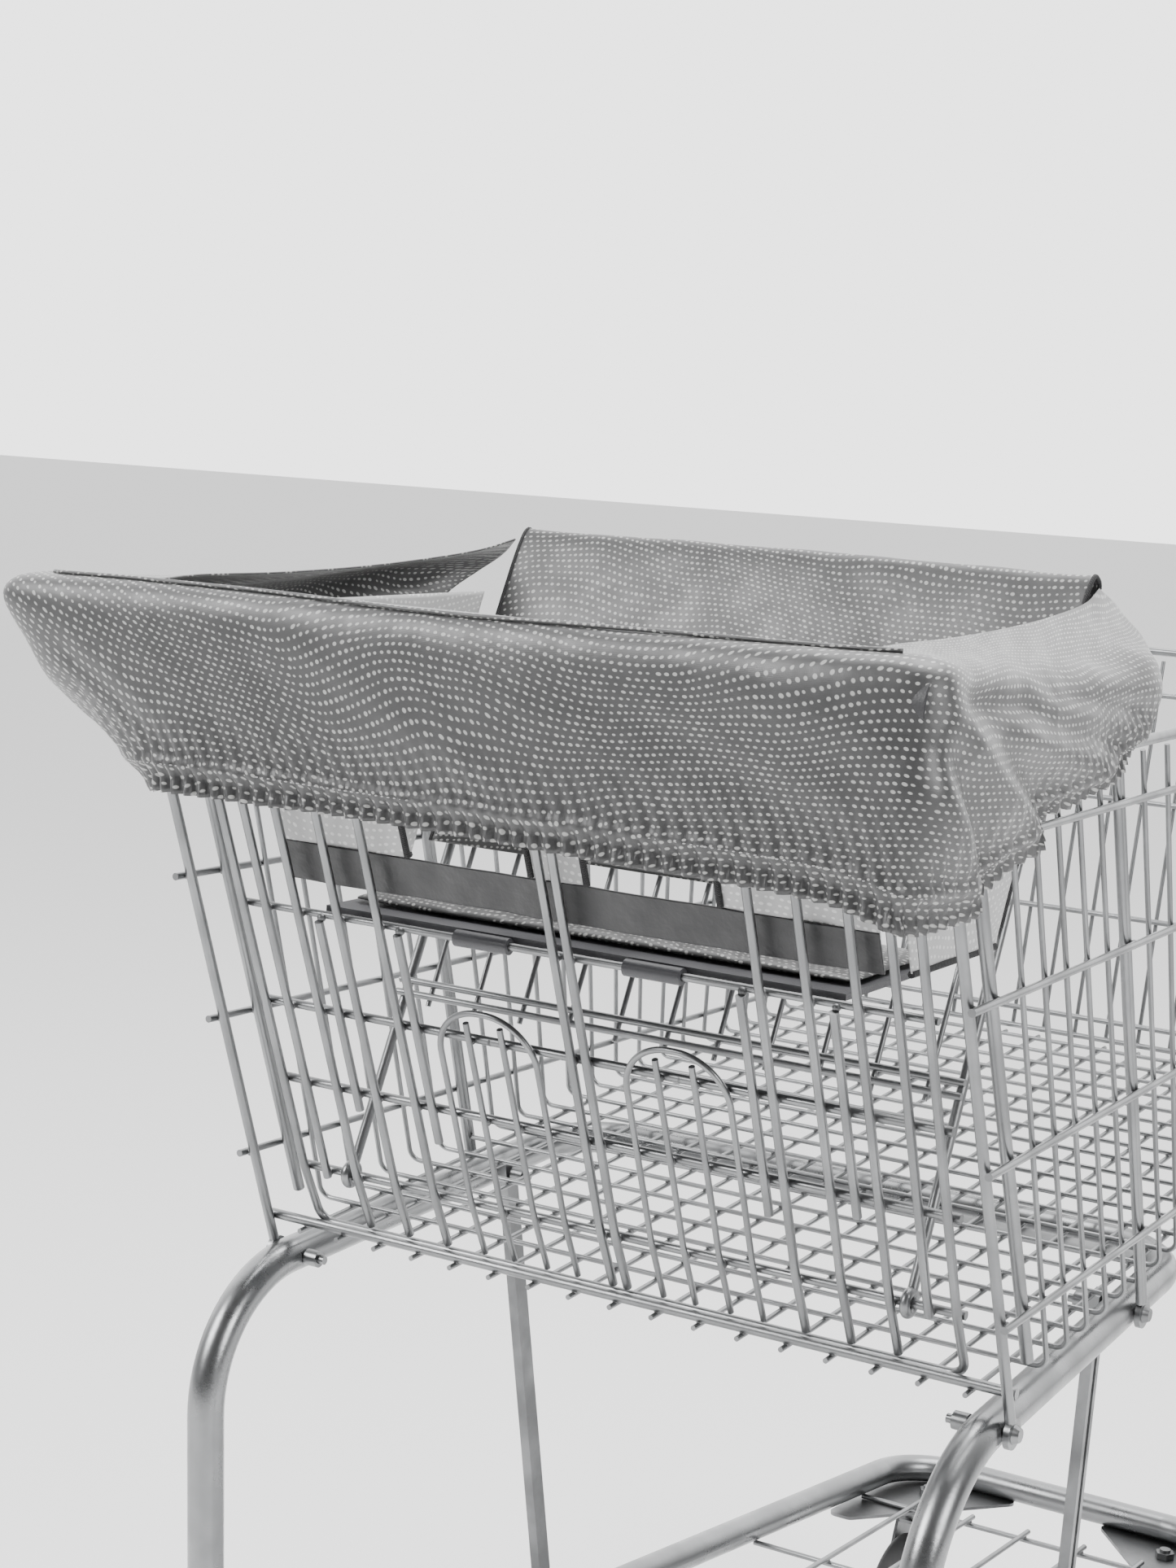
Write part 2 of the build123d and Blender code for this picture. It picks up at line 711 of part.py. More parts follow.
short_wires = ((124.0, pan_height - 4, 88.0), (186.0, pan_height - 4, 100.0), (228.0, gate_top_height, 40.0))
with BuildPart() as gate_upright_wires:
    for sign in (-1, 1):
        for x in (centre_wire_x, *long_wires_x):
            gate_upright(sign * x, gate_top_height, gate_wire)
        for x, top, foot in short_wires:
            rod(gate_point(sign * x, foot), gate_point(sign * x, top), gate_wire)
        for x in arch_inner_x:
            gate_upright(sign * x, arch_top_height - 8, arch_wire)
save(gate_upright_wires, "gate_upright_wires")

inner_x, outer_x = arch_x
with BuildPart() as gate_arches:
    for sign in (-1, 1):
        foot_in = Vector(sign * inner_x, gate_foot.Y, gate_foot.Z)
        foot_out = Vector(sign * outer_x, gate_foot.Y, gate_foot.Z)
        bend_in = Vector(sign * inner_x, bend_point.Y, bend_point.Z)
        bend_out = Vector(sign * outer_x, bend_point.Y, bend_point.Z)
        bent_rod(
            [
                foot_in,
                bend_in,
                gate_point(sign * inner_x, arch_top_height),
                gate_point(sign * outer_x, arch_top_height),
                bend_out,
                foot_out,
            ],
            arch_wire,
            [60, 35, 35, 60],
        )
save(gate_arches, "gate_arches")

# The outer wires and the bottom rod are one bent wire.
with BuildPart() as gate_outer_wire:
    corner_left = Vector(-gate_half_width, bottom_rod.Y, bottom_rod.Z)
    corner_right = Vector(gate_half_width, bottom_rod.Y, bottom_rod.Z)
    bent_rod(
        [
            gate_point(-gate_half_width, gate_top_height),
            Vector(-gate_half_width, bend_point.Y, bend_point.Z),
            corner_left,
            corner_right,
            Vector(gate_half_width, bend_point.Y, bend_point.Z),
            gate_point(gate_half_width, gate_top_height),
        ],
        gate_wire,
        [60, 12, 12, 60],
    )
save(gate_outer_wire, "gate_outer_wire")

inside = (2 * gate_wire + weld_gap) / cos(atan2(rear_lean, 1))
with BuildPart() as gate_cross_rods:
    for z in gate_rod_heights:
        half = gate_half_width + gate_wire + 3
        rod(place(-half, gate_y(z) + inside, z), place(half, gate_y(z) + inside, z), gate_wire)
    for z in (gate_top_height - 5, 330.0):
        half = gate_half_width + gate_wire
        rod(place(-half, gate_y(z) + inside, z), place(half, gate_y(z) + inside, z), gate_wire)
save(gate_cross_rods, "gate_cross_rods")

pivot = place(0, gate_y(pivot_rod_height) + inside + 0.6, pivot_rod_height)
with BuildPart() as gate_pivot_rod:
    reach = across * (gate_half_width + gate_wire)
    rod(pivot - reach, pivot + reach, gate_wire)
save(gate_pivot_rod, "gate_pivot_rod")

sleeve_wall = 3.0
hinge_centre = place(0, hinge_y, hinge_height)
with BuildPart() as gate_hinge_sleeves:
    for x in (long_wires_x[0], gate_half_width):
        for sign in (-1, 1):
            middle = hinge_centre + across * (sign * x)
            disc(middle, across, hinge_rod + sleeve_wall + 0.07, 22)
            rod(gate_point(sign * x, gate_top_height + 0.1), middle, gate_wire)
            disc(middle, across, hinge_rod + 0.07, 30, Mode.SUBTRACT)
save(gate_hinge_sleeves, "gate_hinge_sleeves")

# ---------------------------------------------------------------------- child seat
seat_top = place(0, seat_top_y, seat_top_height)
seat_direction = (seat_top - pivot).normalized()
seat_length = (seat_top - pivot).length
seat_normal = seat_direction.cross(across).normalized()
eye_ring = gate_wire + moving_gap + seat_wire


def seat_point(x, distance, offset=0):
    """A point up the seat back from its pivot, offset towards the basket's front."""
    return pivot + across * x + seat_direction * distance - seat_normal * offset


with BuildPart() as seat_side_rods:
    for sign in (-1, 1):
        with Locations(Location(pivot + across * (sign * eye_x), (0, 90, 0))):
            Torus(eye_ring, seat_wire)
        rod(seat_point(sign * eye_x, eye_ring), seat_point(sign * seat_top_x, seat_length), seat_wire)
save(seat_side_rods, "seat_side_rods")


def seat_x(distance):
    return eye_x + (seat_top_x - eye_x) * distance / seat_length


low_distance = (seat_low_height - pivot_rod_height) / seat_direction.Z
seat_cross_offset = seat_wire + side_rod + weld_gap
seat_rods = (low_distance, low_distance + 9, 0.55 * seat_length, 0.75 * seat_length)
with BuildPart() as seat_cross_rods:
    for distance in seat_rods:
        half = seat_x(distance) + seat_wire
        left_end = seat_point(-half, distance, seat_cross_offset)
        rod(left_end, seat_point(half, distance, seat_cross_offset), side_rod)
    half = seat_x(seat_length) - 1
    top = seat_length + seat_wire + side_rod
    rod(seat_point(-half, top, 0), seat_point(half, top, 0), side_rod)
save(seat_cross_rods, "seat_cross_rods")

with BuildPart() as seat_back_wires:
    span = seat_x(low_distance) - 22
    offset = seat_cross_offset - side_rod - thin_wire - weld_gap
    for index in range(seat_wire_count):
        x = -span + 2 * span * index / (seat_wire_count - 1)
        rod(seat_point(x, low_distance - 6, offset), seat_point(x, seat_length, offset), thin_wire)
save(seat_back_wires, "seat_back_wires")

pan_rod = 5.0 / 2
pan_hinge = place(0, gate_y(pan_height) + inside, pan_height)
with BuildPart() as seat_pan_rod:
    half = gate_half_width + gate_wire
    rod(pan_hinge - across * half, pan_hinge + across * half, pan_rod)
save(seat_pan_rod, "seat_pan_rod")

knuckle = pan_rod + 0.3 + 2.6
pan_start = pan_hinge + Vector(0, 0.5 * knuckle + pan_rod, knuckle - pan_thickness / 2)
with BuildPart() as seat_pan:
    with Locations(pan_start + Vector(0, pan_length / 2, 0)):
        Box(2 * pan_half_width, pan_length, pan_thickness)
    fillet(seat_pan.edges().filter_by(Axis.Z).group_by(Axis.Y)[-1], 18)
    for sign in (-1, 1):
        centre = pan_hinge + across * (sign * pan_knuckle_x)
        disc(centre, across, knuckle, 40)
        disc(centre, across, pan_rod + 0.3, 50, Mode.SUBTRACT)
save(seat_pan, "seat_pan")

# -------------------------------------------------------------------- fabric cover
# The cloth pieces are drawn as flat panels of one thickness, clear of all they touch.
cover_inner = grip + cover_gap
cover_outer = cover_inner + fabric
skirt_half = cover_half_width - fabric - 0.5
skirt_front_y = handle_centre.Y + 55
cover_top = handle_centre.Z + cover_inner
with BuildPart() as cover_skirt:
    with BuildSketch(Plane.YZ):
        with Locations((handle_centre.Y, handle_centre.Z)):
            Circle(cover_outer)
            Circle(cover_inner, mode=Mode.SUBTRACT)
            Rectangle(2 * cover_outer, 2 * cover_outer, align=(Align.CENTER, Align.MAX), mode=Mode.SUBTRACT)
            Rectangle(2 * cover_outer, 2 * cover_outer, align=(Align.MIN, Align.CENTER), mode=Mode.SUBTRACT)
        with Locations((handle_centre.Y, cover_top)):
            Rectangle(skirt_front_y - handle_centre.Y, fabric, align=(Align.MIN, Align.MIN))
        with Locations((handle_centre.Y - cover_inner, handle_centre.Z)):
            Rectangle(fabric, handle_height - hem_height, align=(Align.MAX, Align.MAX))
    extrude(amount=skirt_half, both=True)
save(cover_skirt, "cover_skirt")

cover_front_y = rear_rod_y + seat_top_y
hem_rear = (handle_centre.Y - cover_outer, rear_rod_height + hem_height)
hem_middle = (rear_rod_y - 10, rear_rod_height + side_hem_front_height)
hem_front = (rear_rod_y + side_cover_front_y - 36, rear_rod_height + side_hem_front_height + 8)
for name, sign in sides:
    with BuildPart() as cover_side:
        plate_x = sign * (cover_half_width - fabric / 2)
        outer_plane = Plane(origin=(plate_x, 0, 0), x_dir=(0, 1, 0), z_dir=(1, 0, 0))
        with BuildSketch(outer_plane):
            with BuildLine():
                Polyline(
                    hem_rear,
                    hem_middle,
                    hem_front,
                    (rear_rod_y + side_cover_front_y, cover_top),
                    (rear_rod_y + side_cover_front_y, cover_top + fabric),
                    (hem_rear[0], cover_top + fabric),
                    close=True,
                )
            make_face()
        extrude(amount=fabric / 2, both=True)
        with Locations((sign * cover_half_width, skirt_front_y + 2, cover_top)):
            Box(
                cover_half_width - eye_x - 14,
                cover_front_y - skirt_front_y - 2,
                fabric,
                align=(Align.MAX if sign > 0 else Align.MIN, Align.MIN, Align.MIN),
            )
    save(cover_side, f"cover_side_{name}")

liner_gap = 7.0
liner_bottom = pan_height + 20
with BuildPart() as cover_liner_sides:
    for sign in (-1, 1):
        liner_x = eye_x + liner_gap + fabric / 2
        with BuildSketch(Plane(origin=(sign * liner_x, 0, 0), x_dir=(0, 1, 0), z_dir=(1, 0, 0))):
            with BuildLine():
                Polyline(
                    (rear_rod_y - 62, rear_rod_height + liner_bottom),
                    (rear_rod_y + 60, rear_rod_height + liner_bottom),
                    (rear_rod_y + 138, rear_rod_height + hinge_height + 10),
                    (rear_rod_y - 135, rear_rod_height + hinge_height + 10),
                    close=True,
                )
            make_face()
        extrude(amount=fabric / 2, both=True)
save(cover_liner_sides, "cover_liner_sides")

band_inner = 11.0
band_normal = Vector(0, 1, rear_lean).normalized()
band_foot = gate_point(0, pan_height + 18) + band_normal * band_inner
band_head = gate_point(0, gate_top_height - 10) + band_normal * band_inner
with BuildPart() as cover_seat_band:
    with BuildSketch(Plane(origin=band_foot, x_dir=(1, 0, 0), z_dir=band_head - band_foot)):
        Rectangle(2 * (eye_x + 4), fabric, align=(Align.CENTER, Align.MIN))
    extrude(amount=(band_head - band_foot).length)
save(cover_seat_band, "cover_seat_band")

rest_rear = seat_cross_offset + side_rod + cover_gap
rest_front = seat_wire + cover_gap
rest_bottom = 252.0
flap_length = 150.0
rest_top = seat_length + seat_wire + 2 * side_rod + cover_gap
with BuildPart() as cover_backrest:
    with BuildSketch(Plane(origin=pivot, x_dir=-seat_normal, z_dir=(1, 0, 0))):
        with BuildLine():
            Polyline(
                (rest_rear, -rest_bottom),
                (rest_rear, -rest_top),
                (-rest_front, -rest_top),
                (-rest_front, flap_length - rest_top),
                (-rest_front - fabric, flap_length - rest_top),
                (-rest_front - fabric, -rest_top - fabric),
                (rest_rear + fabric, -rest_top - fabric),
                (rest_rear + fabric, -rest_bottom),
                close=True,
            )
        make_face()
    extrude(amount=eye_x + 5, both=True)
save(cover_backrest, "cover_backrest")

pad_start = 24.0
pad_thickness = 6.0
with BuildPart() as cover_seat_pad:
    with Locations(Vector(0, pan_hinge.Y + pad_start, pan_start.Z + pan_thickness / 2 + 0.5)):
        Box(
            2 * (pan_half_width - 3),
            pan_length - pad_start,
            pad_thickness,
            align=(Align.CENTER, Align.MIN, Align.MIN),
        )
    fillet(cover_seat_pad.edges().filter_by(Axis.Z), 12)
save(cover_seat_pad, "cover_seat_pad")
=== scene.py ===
from math import cos, pi, radians, sin

import bpy
import numpy as np
from bpy.props import FloatProperty, FloatVectorProperty, IntProperty, PointerProperty
from mathutils import Matrix, Vector, noise


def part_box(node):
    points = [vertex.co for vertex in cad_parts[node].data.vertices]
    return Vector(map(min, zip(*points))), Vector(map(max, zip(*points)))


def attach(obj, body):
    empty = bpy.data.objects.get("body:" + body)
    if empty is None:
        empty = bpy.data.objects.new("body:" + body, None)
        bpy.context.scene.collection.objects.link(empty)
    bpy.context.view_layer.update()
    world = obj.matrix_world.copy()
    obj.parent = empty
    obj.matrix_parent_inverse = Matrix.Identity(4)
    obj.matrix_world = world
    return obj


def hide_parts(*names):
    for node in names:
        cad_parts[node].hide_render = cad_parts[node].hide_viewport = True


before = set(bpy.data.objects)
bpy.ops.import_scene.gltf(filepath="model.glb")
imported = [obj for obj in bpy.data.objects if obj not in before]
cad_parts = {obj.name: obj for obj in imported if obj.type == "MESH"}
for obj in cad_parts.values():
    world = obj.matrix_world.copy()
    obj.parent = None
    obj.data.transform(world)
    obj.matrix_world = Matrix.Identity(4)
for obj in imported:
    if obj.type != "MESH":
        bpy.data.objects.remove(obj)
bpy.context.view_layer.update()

bl_info = {
    "name": "Shopping cart finish",
    "version": (1, 0, 0),
    "blender": (4, 5, 0),
    "location": "3D View > Sidebar > Cart",
    "description": "Metalwork, welds, wheels, handle and fabric seat cover of a shopping cart",
    "category": "Object",
}

# The rear floor rod of the basket is the place that everything here is measured from.
rod_low, rod_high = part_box("rear_floor_rod")
ROD = (rod_low + rod_high) / 2
MM = 0.001


def at(x, y, z):
    """A point given in millimetres from the rear floor rod, in metres."""
    return Vector((x * MM, ROD.y + y * MM, ROD.z + z * MM))


# ---------------------------------------------------------------------- settings
class CoverSettings(bpy.types.PropertyGroup):
    """What the fabric cover is made of"""

    cloth_colour: FloatVectorProperty(name="Cloth colour", description="Dyed ground of the cover",
                                      subtype="COLOR", size=4, min=0, max=1, default=(0.030, 0.030, 0.0307, 1))
    pale_colour: FloatVectorProperty(name="Liner colour", description="Pale lining inside the seat",
                                     subtype="COLOR", size=4, min=0, max=1, default=(0.46, 0.46, 0.46, 1))
    dot_pitch: FloatProperty(name="Dot pitch", description="Row to row distance of the printed dots",
                             unit="LENGTH", default=0.0046)
    dot_radius: FloatProperty(name="Dot radius", description="Radius of a printed dot", unit="LENGTH",
                              default=0.00086)
    ruffle_pitch: FloatProperty(name="Ruffle pitch", description="Length of one gather along the elastic hem",
                                unit="LENGTH", default=0.0105)
    ruffle_depth: FloatProperty(name="Ruffle depth", description="How far a gather stands out",
                                unit="LENGTH", default=0.0030)
    thickness: FloatProperty(name="Cloth thickness", description="Thickness of the lined cloth",
                             unit="LENGTH", default=0.0012)


class MetalSettings(bpy.types.PropertyGroup):
    """The plated steel and its welds"""

    zinc_colour: FloatVectorProperty(name="Zinc colour", description="Plated steel", subtype="COLOR", size=4,
                                     min=0, max=1, default=(0.25, 0.254, 0.258, 1))
    wire_roughness: FloatProperty(name="Wire roughness", description="Roughness of the plated wires",
                                  subtype="FACTOR", default=0.3, min=0, max=1)
    bead_swell: FloatProperty(name="Weld swell", description="Size of a weld bead next to the wire's radius",
                              subtype="FACTOR", default=1.1, min=0.5, max=2)
    seed: IntProperty(name="Seed", description="Seed of the random bead sizes", default=7)


class StageSettings(bpy.types.PropertyGroup):
    """The room that the cart stands in"""

    floor_size: FloatProperty(name="Floor size", description="Side of the square floor", unit="LENGTH",
                              default=60.0)
    lens: FloatProperty(name="Lens", description="Focal length of the camera", unit="CAMERA", default=62.8)
    room: FloatProperty(name="Room brightness", description="Brightness of the wall behind the cart",
                        default=3.0)
    room_dim: FloatProperty(name="Dim side", description="Brightness of the room opposite that wall",
                            default=0.22)
    key_power: FloatProperty(name="Key lamp", description="Power of the large soft lamp", unit="POWER",
                             default=190.0)


# ----------------------------------------------------------------- shader writing
class Signal:
    """A socket of a shader tree that takes part in arithmetic."""

    def __init__(self, tree, socket):
        self.tree = tree
        self.socket = socket

    def _math(self, operation, *values):
        node = self.tree.nodes.new("ShaderNodeMath")
        node.operation = operation
        for slot, value in zip(node.inputs, values):
            if isinstance(value, Signal):
                self.tree.links.new(value.socket, slot)
            else:
                slot.default_value = value
        return Signal(self.tree, node.outputs[0])

    def __add__(self, other):
        return self._math("ADD", self, other)

    def __radd__(self, other):
        return self._math("ADD", other, self)

    def __sub__(self, other):
        return self._math("SUBTRACT", self, other)

    def __rsub__(self, other):
        return self._math("SUBTRACT", other, self)

    def __mul__(self, other):
        return self._math("MULTIPLY", self, other)

    def __rmul__(self, other):
        return self._math("MULTIPLY", other, self)

    def __truediv__(self, other):
        return self._math("DIVIDE", self, other)

    def floor(self):
        return self._math("FLOOR", self)

    def fraction(self):
        return self._math("FRACT", self)

    def root(self):
        return self._math("SQRT", self)

    def sine(self):
        return self._math("SINE", self)

    def size(self):
        return self._math("ABSOLUTE", self)


class Finish:
    """A material and its shader, with one method that makes every other node."""

    def __init__(self, name):
        self.material = bpy.data.materials.new(name)
        self.material.use_nodes = True
        self.tree = self.material.node_tree
        self.shader = self.tree.nodes["Principled BSDF"]

    def node(self, kind, settings=None, values=None, output=0):
        node = self.tree.nodes.new(kind)
        for key, value in (settings or {}).items():
            setattr(node, key, value)
        for key, value in (values or {}).items():
            if isinstance(value, Signal):
                self.tree.links.new(value.socket, node.inputs[key])
            else:
                node.inputs[key].default_value = value
        return Signal(self.tree, node.outputs[output])

    def ramp(self, value, low, high, low_out=0.0, high_out=1.0):
        return self.node("ShaderNodeMapRange", {"interpolation_type": "SMOOTHSTEP"},
                         {"Value": value, "From Min": low, "From Max": high, "To Min": low_out,
                          "To Max": high_out})

    def mix(self, factor, first, second):
        return self.node("ShaderNodeMix", {"data_type": "RGBA"}, {0: factor, 6: first, 7: second}, 2)

    def bump(self, height, distance, strength=1.0):
        values = {"Strength": strength, "Distance": distance, "Height": height}
        normal = self.node("ShaderNodeBump", None, values)
        self.feed("Normal", normal)

    def feed(self, socket, value):
        if isinstance(value, Signal):
            self.tree.links.new(value.socket, self.shader.inputs[socket])
        else:
            self.shader.inputs[socket].default_value = value

    def place(self):
        return self.node("ShaderNodeTexCoord", None, None, "Object")

    def cloud(self, scale, detail=3.0, vector=None, roughness=0.5):
        where = vector or self.place()
        return self.node("ShaderNodeTexNoise", None, {"Vector": where, "Scale": scale, "Detail": detail,
                                                      "Roughness": roughness})


def tint(colour, factor):
    return tuple(c * factor for c in colour[:3]) + (1,)


def plated_steel(name, colour, roughness, blotch):
    """Zinc-plated steel: cloudy brightness, a fine speckle in roughness and bump, and soft dull spots."""
    finish = Finish(name)
    cloudy = finish.cloud(22.0, 4.0)
    speckle = finish.cloud(420.0, 2.0)
    finish.feed("Base Color", finish.mix(finish.ramp(cloudy, 0.35, 0.7), tint(colour, 1 - blotch), colour))
    dull = finish.ramp(cloudy, 0.3, 0.72, roughness + 0.1, roughness - 0.05)
    finish.feed("Roughness", dull + speckle * 0.08)
    finish.feed("Metallic", 1.0)
    finish.bump(speckle, 0.00015, 0.35)
    return finish.material


def moulded_plastic(name, colour, roughness, grain):
    finish = Finish(name)
    pebble = finish.node("ShaderNodeTexVoronoi", None, {"Vector": finish.place(), "Scale": grain})
    haze = finish.cloud(14.0)
    finish.feed("Base Color", finish.mix(haze, tint(colour, 0.82), tint(colour, 1.15)))
    finish.feed("Roughness", finish.ramp(haze, 0.3, 0.7, roughness - 0.06, roughness + 0.1))
    finish.bump(pebble, 0.0003, 0.35)
    return finish.material


def tyre_rubber():
    finish = Finish("tyre_rubber")
    dust = finish.cloud(30.0, 5.0)
    fine = finish.cloud(300.0)
    dusty = finish.ramp(dust, 0.45, 0.75)
    finish.feed("Base Color", finish.mix(dusty, (0.035, 0.035, 0.036, 1), (0.12, 0.115, 0.11, 1)))
    finish.feed("Roughness", finish.ramp(dust, 0.4, 0.7, 0.62, 0.85))
    finish.bump(fine, 0.0002, 0.4)
    return finish.material


def cloth_place(finish):
    return finish.node("ShaderNodeUVMap", {"uv_map": "cloth"}, None, "UV")


def dotted_cloth(name, ground, dot, settings, spread=1.0):
    """Satin weave printed with small ovals set in wandering rows."""
    finish = Finish(name)
    where = cloth_place(finish)
    split = finish.tree.nodes.new("ShaderNodeSeparateXYZ")
    finish.tree.links.new(where.socket, split.inputs[0])
    along, down = (Signal(finish.tree, split.outputs[i]) for i in (0, 1))
    drift = finish.node("ShaderNodeTexNoise", {"noise_dimensions": "2D"},
                        {"Vector": where, "Scale": 7.0, "Detail": 0.0})
    wander = finish.node("ShaderNodeTexNoise", {"noise_dimensions": "2D"},
                         {"Vector": where, "Scale": 24.0, "Detail": 0.0})
    pitch = settings.dot_pitch * spread
    rows = (down + drift * 0.045 + wander * 0.005) / pitch
    row = rows.floor()
    columns = (along - wander * 0.004) / (pitch * 1.05) + row * 0.381
    column = columns.floor()
    cell = finish.node("ShaderNodeCombineXYZ", None, {0: row, 1: column, 2: 0.0})
    chance = finish.node("ShaderNodeTexWhiteNoise", {"noise_dimensions": "2D"}, {"Vector": cell})
    across = (columns.fraction() - 0.5 + (chance - 0.5) * 0.3) * (pitch * 0.78)
    upward = (rows.fraction() - 0.5) * pitch
    distance = (across * across + upward * upward).root()
    radius = (chance * 0.5 + 0.75) * (settings.dot_radius * spread)
    printed = finish.ramp(distance - radius, 0.00022, -0.00022)
    shade = finish.cloud(5.0, 2.0, where)
    base = finish.mix(shade, tint(ground, 0.88), tint(ground, 1.14))
    finish.feed("Base Color", finish.mix(printed, base, dot))
    finish.feed("Specular IOR Level", 0.75)
    weave = ((along * (2 * pi / 0.0007)).sine() + (down * (2 * pi / 0.0007)).sine()) * 0.25
    wrinkle = finish.node("ShaderNodeTexNoise", {"noise_dimensions": "2D"},
                          {"Vector": where, "Scale": 38.0, "Detail": 3.0})
    finish.feed("Roughness", finish.ramp(wrinkle, 0.3, 0.7, 0.36, 0.46))
    finish.feed("Sheen Weight", 0.15)
    finish.bump(weave * 0.06 + wrinkle, 0.0016, 0.45)
    return finish.material


def plain_cloth(name, colour, roughness):
    finish = Finish(name)
    where = cloth_place(finish)
    wrinkle = finish.node("ShaderNodeTexNoise", {"noise_dimensions": "2D"},
                          {"Vector": where, "Scale": 45.0, "Detail": 4.0})
    # The colour follows the wrinkle's height, as the bump does: painted shade in the creases and a painted
    # highlight on the ridges.
    finish.feed("Base Color", finish.mix(wrinkle, tint(colour, 0.75), tint(colour, 1.3)))
    finish.feed("Roughness", finish.ramp(wrinkle, 0.3, 0.7, roughness - 0.08, roughness + 0.1))
    finish.feed("Sheen Weight", 0.2)
    finish.bump(wrinkle, 0.003, 0.5)
    return finish.material


def herringbone_tape(name, colour):
    finish = Finish(name)
    split = finish.tree.nodes.new("ShaderNodeSeparateXYZ")
    finish.tree.links.new(cloth_place(finish).socket, split.inputs[0])
    along, down = (Signal(finish.tree, split.outputs[i]) for i in (0, 1))
    half = ((down / 0.006).fraction() - 0.5)
    rib = ((along / 0.0016 + half.size() * 2.5) * (2 * pi)).sine()
    finish.feed("Base Color", finish.mix(finish.ramp(rib, -0.4, 0.6), tint(colour, 0.45), tint(colour, 1.6)))
    finish.feed("Roughness", 0.75)
    finish.bump(rib, 0.0004, 0.6)
    return finish.material


# ------------------------------------------------------------------- mesh writing
def new_piece(name, points, faces, material, smooth=True):
    """A mesh object at the origin, with its place in its points."""
    mesh = bpy.data.meshes.new(name)
    mesh.from_pydata([tuple(p) for p in points], [], faces)
    mesh.materials.append(material)
    mesh.polygons.foreach_set("use_smooth", [smooth] * len(mesh.polygons))
    piece = bpy.data.objects.new(name, mesh)
    bpy.context.scene.collection.objects.link(piece)
    return piece


def bake_modifiers(piece):
    """Turns the evaluated piece into a plain mesh and drops its modifiers."""
    graph = bpy.context.evaluated_depsgraph_get()
    mesh = bpy.data.meshes.new_from_object(piece.evaluated_get(graph), depsgraph=graph)
    piece.modifiers.clear()
    piece.data = mesh
    return piece


def through(knots, count):
    """count points, evenly spaced, on a smooth curve through the knots (an array of rows)."""
    knots = np.asarray(knots, float)
    padded = np.concatenate([[2 * knots[0] - knots[1]], knots, [2 * knots[-1] - knots[-2]]])
    dense = []
    for i in range(1, len(padded) - 2):
        a, b, c, d = padded[i - 1: i + 3]
        for t in np.linspace(0, 1, 24, endpoint=False):
            dense.append(0.5 * (2 * b + (c - a) * t + (2 * a - 5 * b + 4 * c - d) * t * t
                                + (3 * b - 3 * c + d - a) * t ** 3))
    dense.append(padded[-2])
    dense = np.array(dense)
    steps = np.linalg.norm(np.diff(dense.reshape(len(dense), -1), axis=0), axis=1)
    run = np.concatenate([[0], np.cumsum(steps)])
    wanted = np.linspace(0, run[-1], count)
    flat = dense.reshape(len(dense), -1)
    out = np.stack([np.interp(wanted, run, flat[:, k]) for k in range(flat.shape[1])], axis=1)
    return out.reshape((count,) + dense.shape[1:])


def cloth_sheet(name, grid, material, thickness, wrinkle=None, holes=None):
    """A cloth piece from a grid of points (rows down the cloth, columns along it), in metres."""
    rows, columns = grid.shape[:2]
    along = np.zeros((rows, columns))
    along[:, 1:] = np.cumsum(np.linalg.norm(np.diff(grid, axis=1), axis=2), axis=1)
    along += (along[:, -1:].max() - along[:, -1:]) / 2
    down = np.zeros((rows, columns))
    down[1:] = np.cumsum(np.linalg.norm(np.diff(grid, axis=0), axis=2), axis=0)
    if wrinkle is not None:
        du = np.gradient(grid, axis=1)
        dv = np.gradient(grid, axis=0)
        normal = np.cross(du, dv)
        normal /= np.linalg.norm(normal, axis=2, keepdims=True) + 1e-12
        grid = grid + normal * wrinkle(along, down)[..., None]
    faces = []
    for r in range(rows - 1):
        for c in range(columns - 1):
            if holes is not None and holes[r, c]:
                continue
            i = r * columns + c
            faces.append((i, i + 1, i + columns + 1, i + columns))
    piece = new_piece(name, grid.reshape(-1, 3), faces, material)
    uv = piece.data.uv_layers.new(name="cloth")
    corner = np.empty(len(piece.data.loops), int)
    piece.data.loops.foreach_get("vertex_index", corner)
    flat = np.stack([along.reshape(-1)[corner], down.reshape(-1)[corner]], axis=1)
    uv.data.foreach_set("uv", flat.astype(np.float32).reshape(-1))
    loose = piece.modifiers.new("Thickness", "SOLIDIFY")
    loose.thickness = thickness
    loose.offset = 0
    bake_modifiers(piece)
    return piece


def soft_noise(a, b, scale, seed):
    """Smooth noise from -1 to 1 on two arrays of metres."""
    out = np.empty(a.size)
    for i, (p, q) in enumerate(zip(a.reshape(-1), b.reshape(-1))):
        out[i] = noise.noise(Vector((p * scale, q * scale, seed)))
    return out.reshape(a.shape)


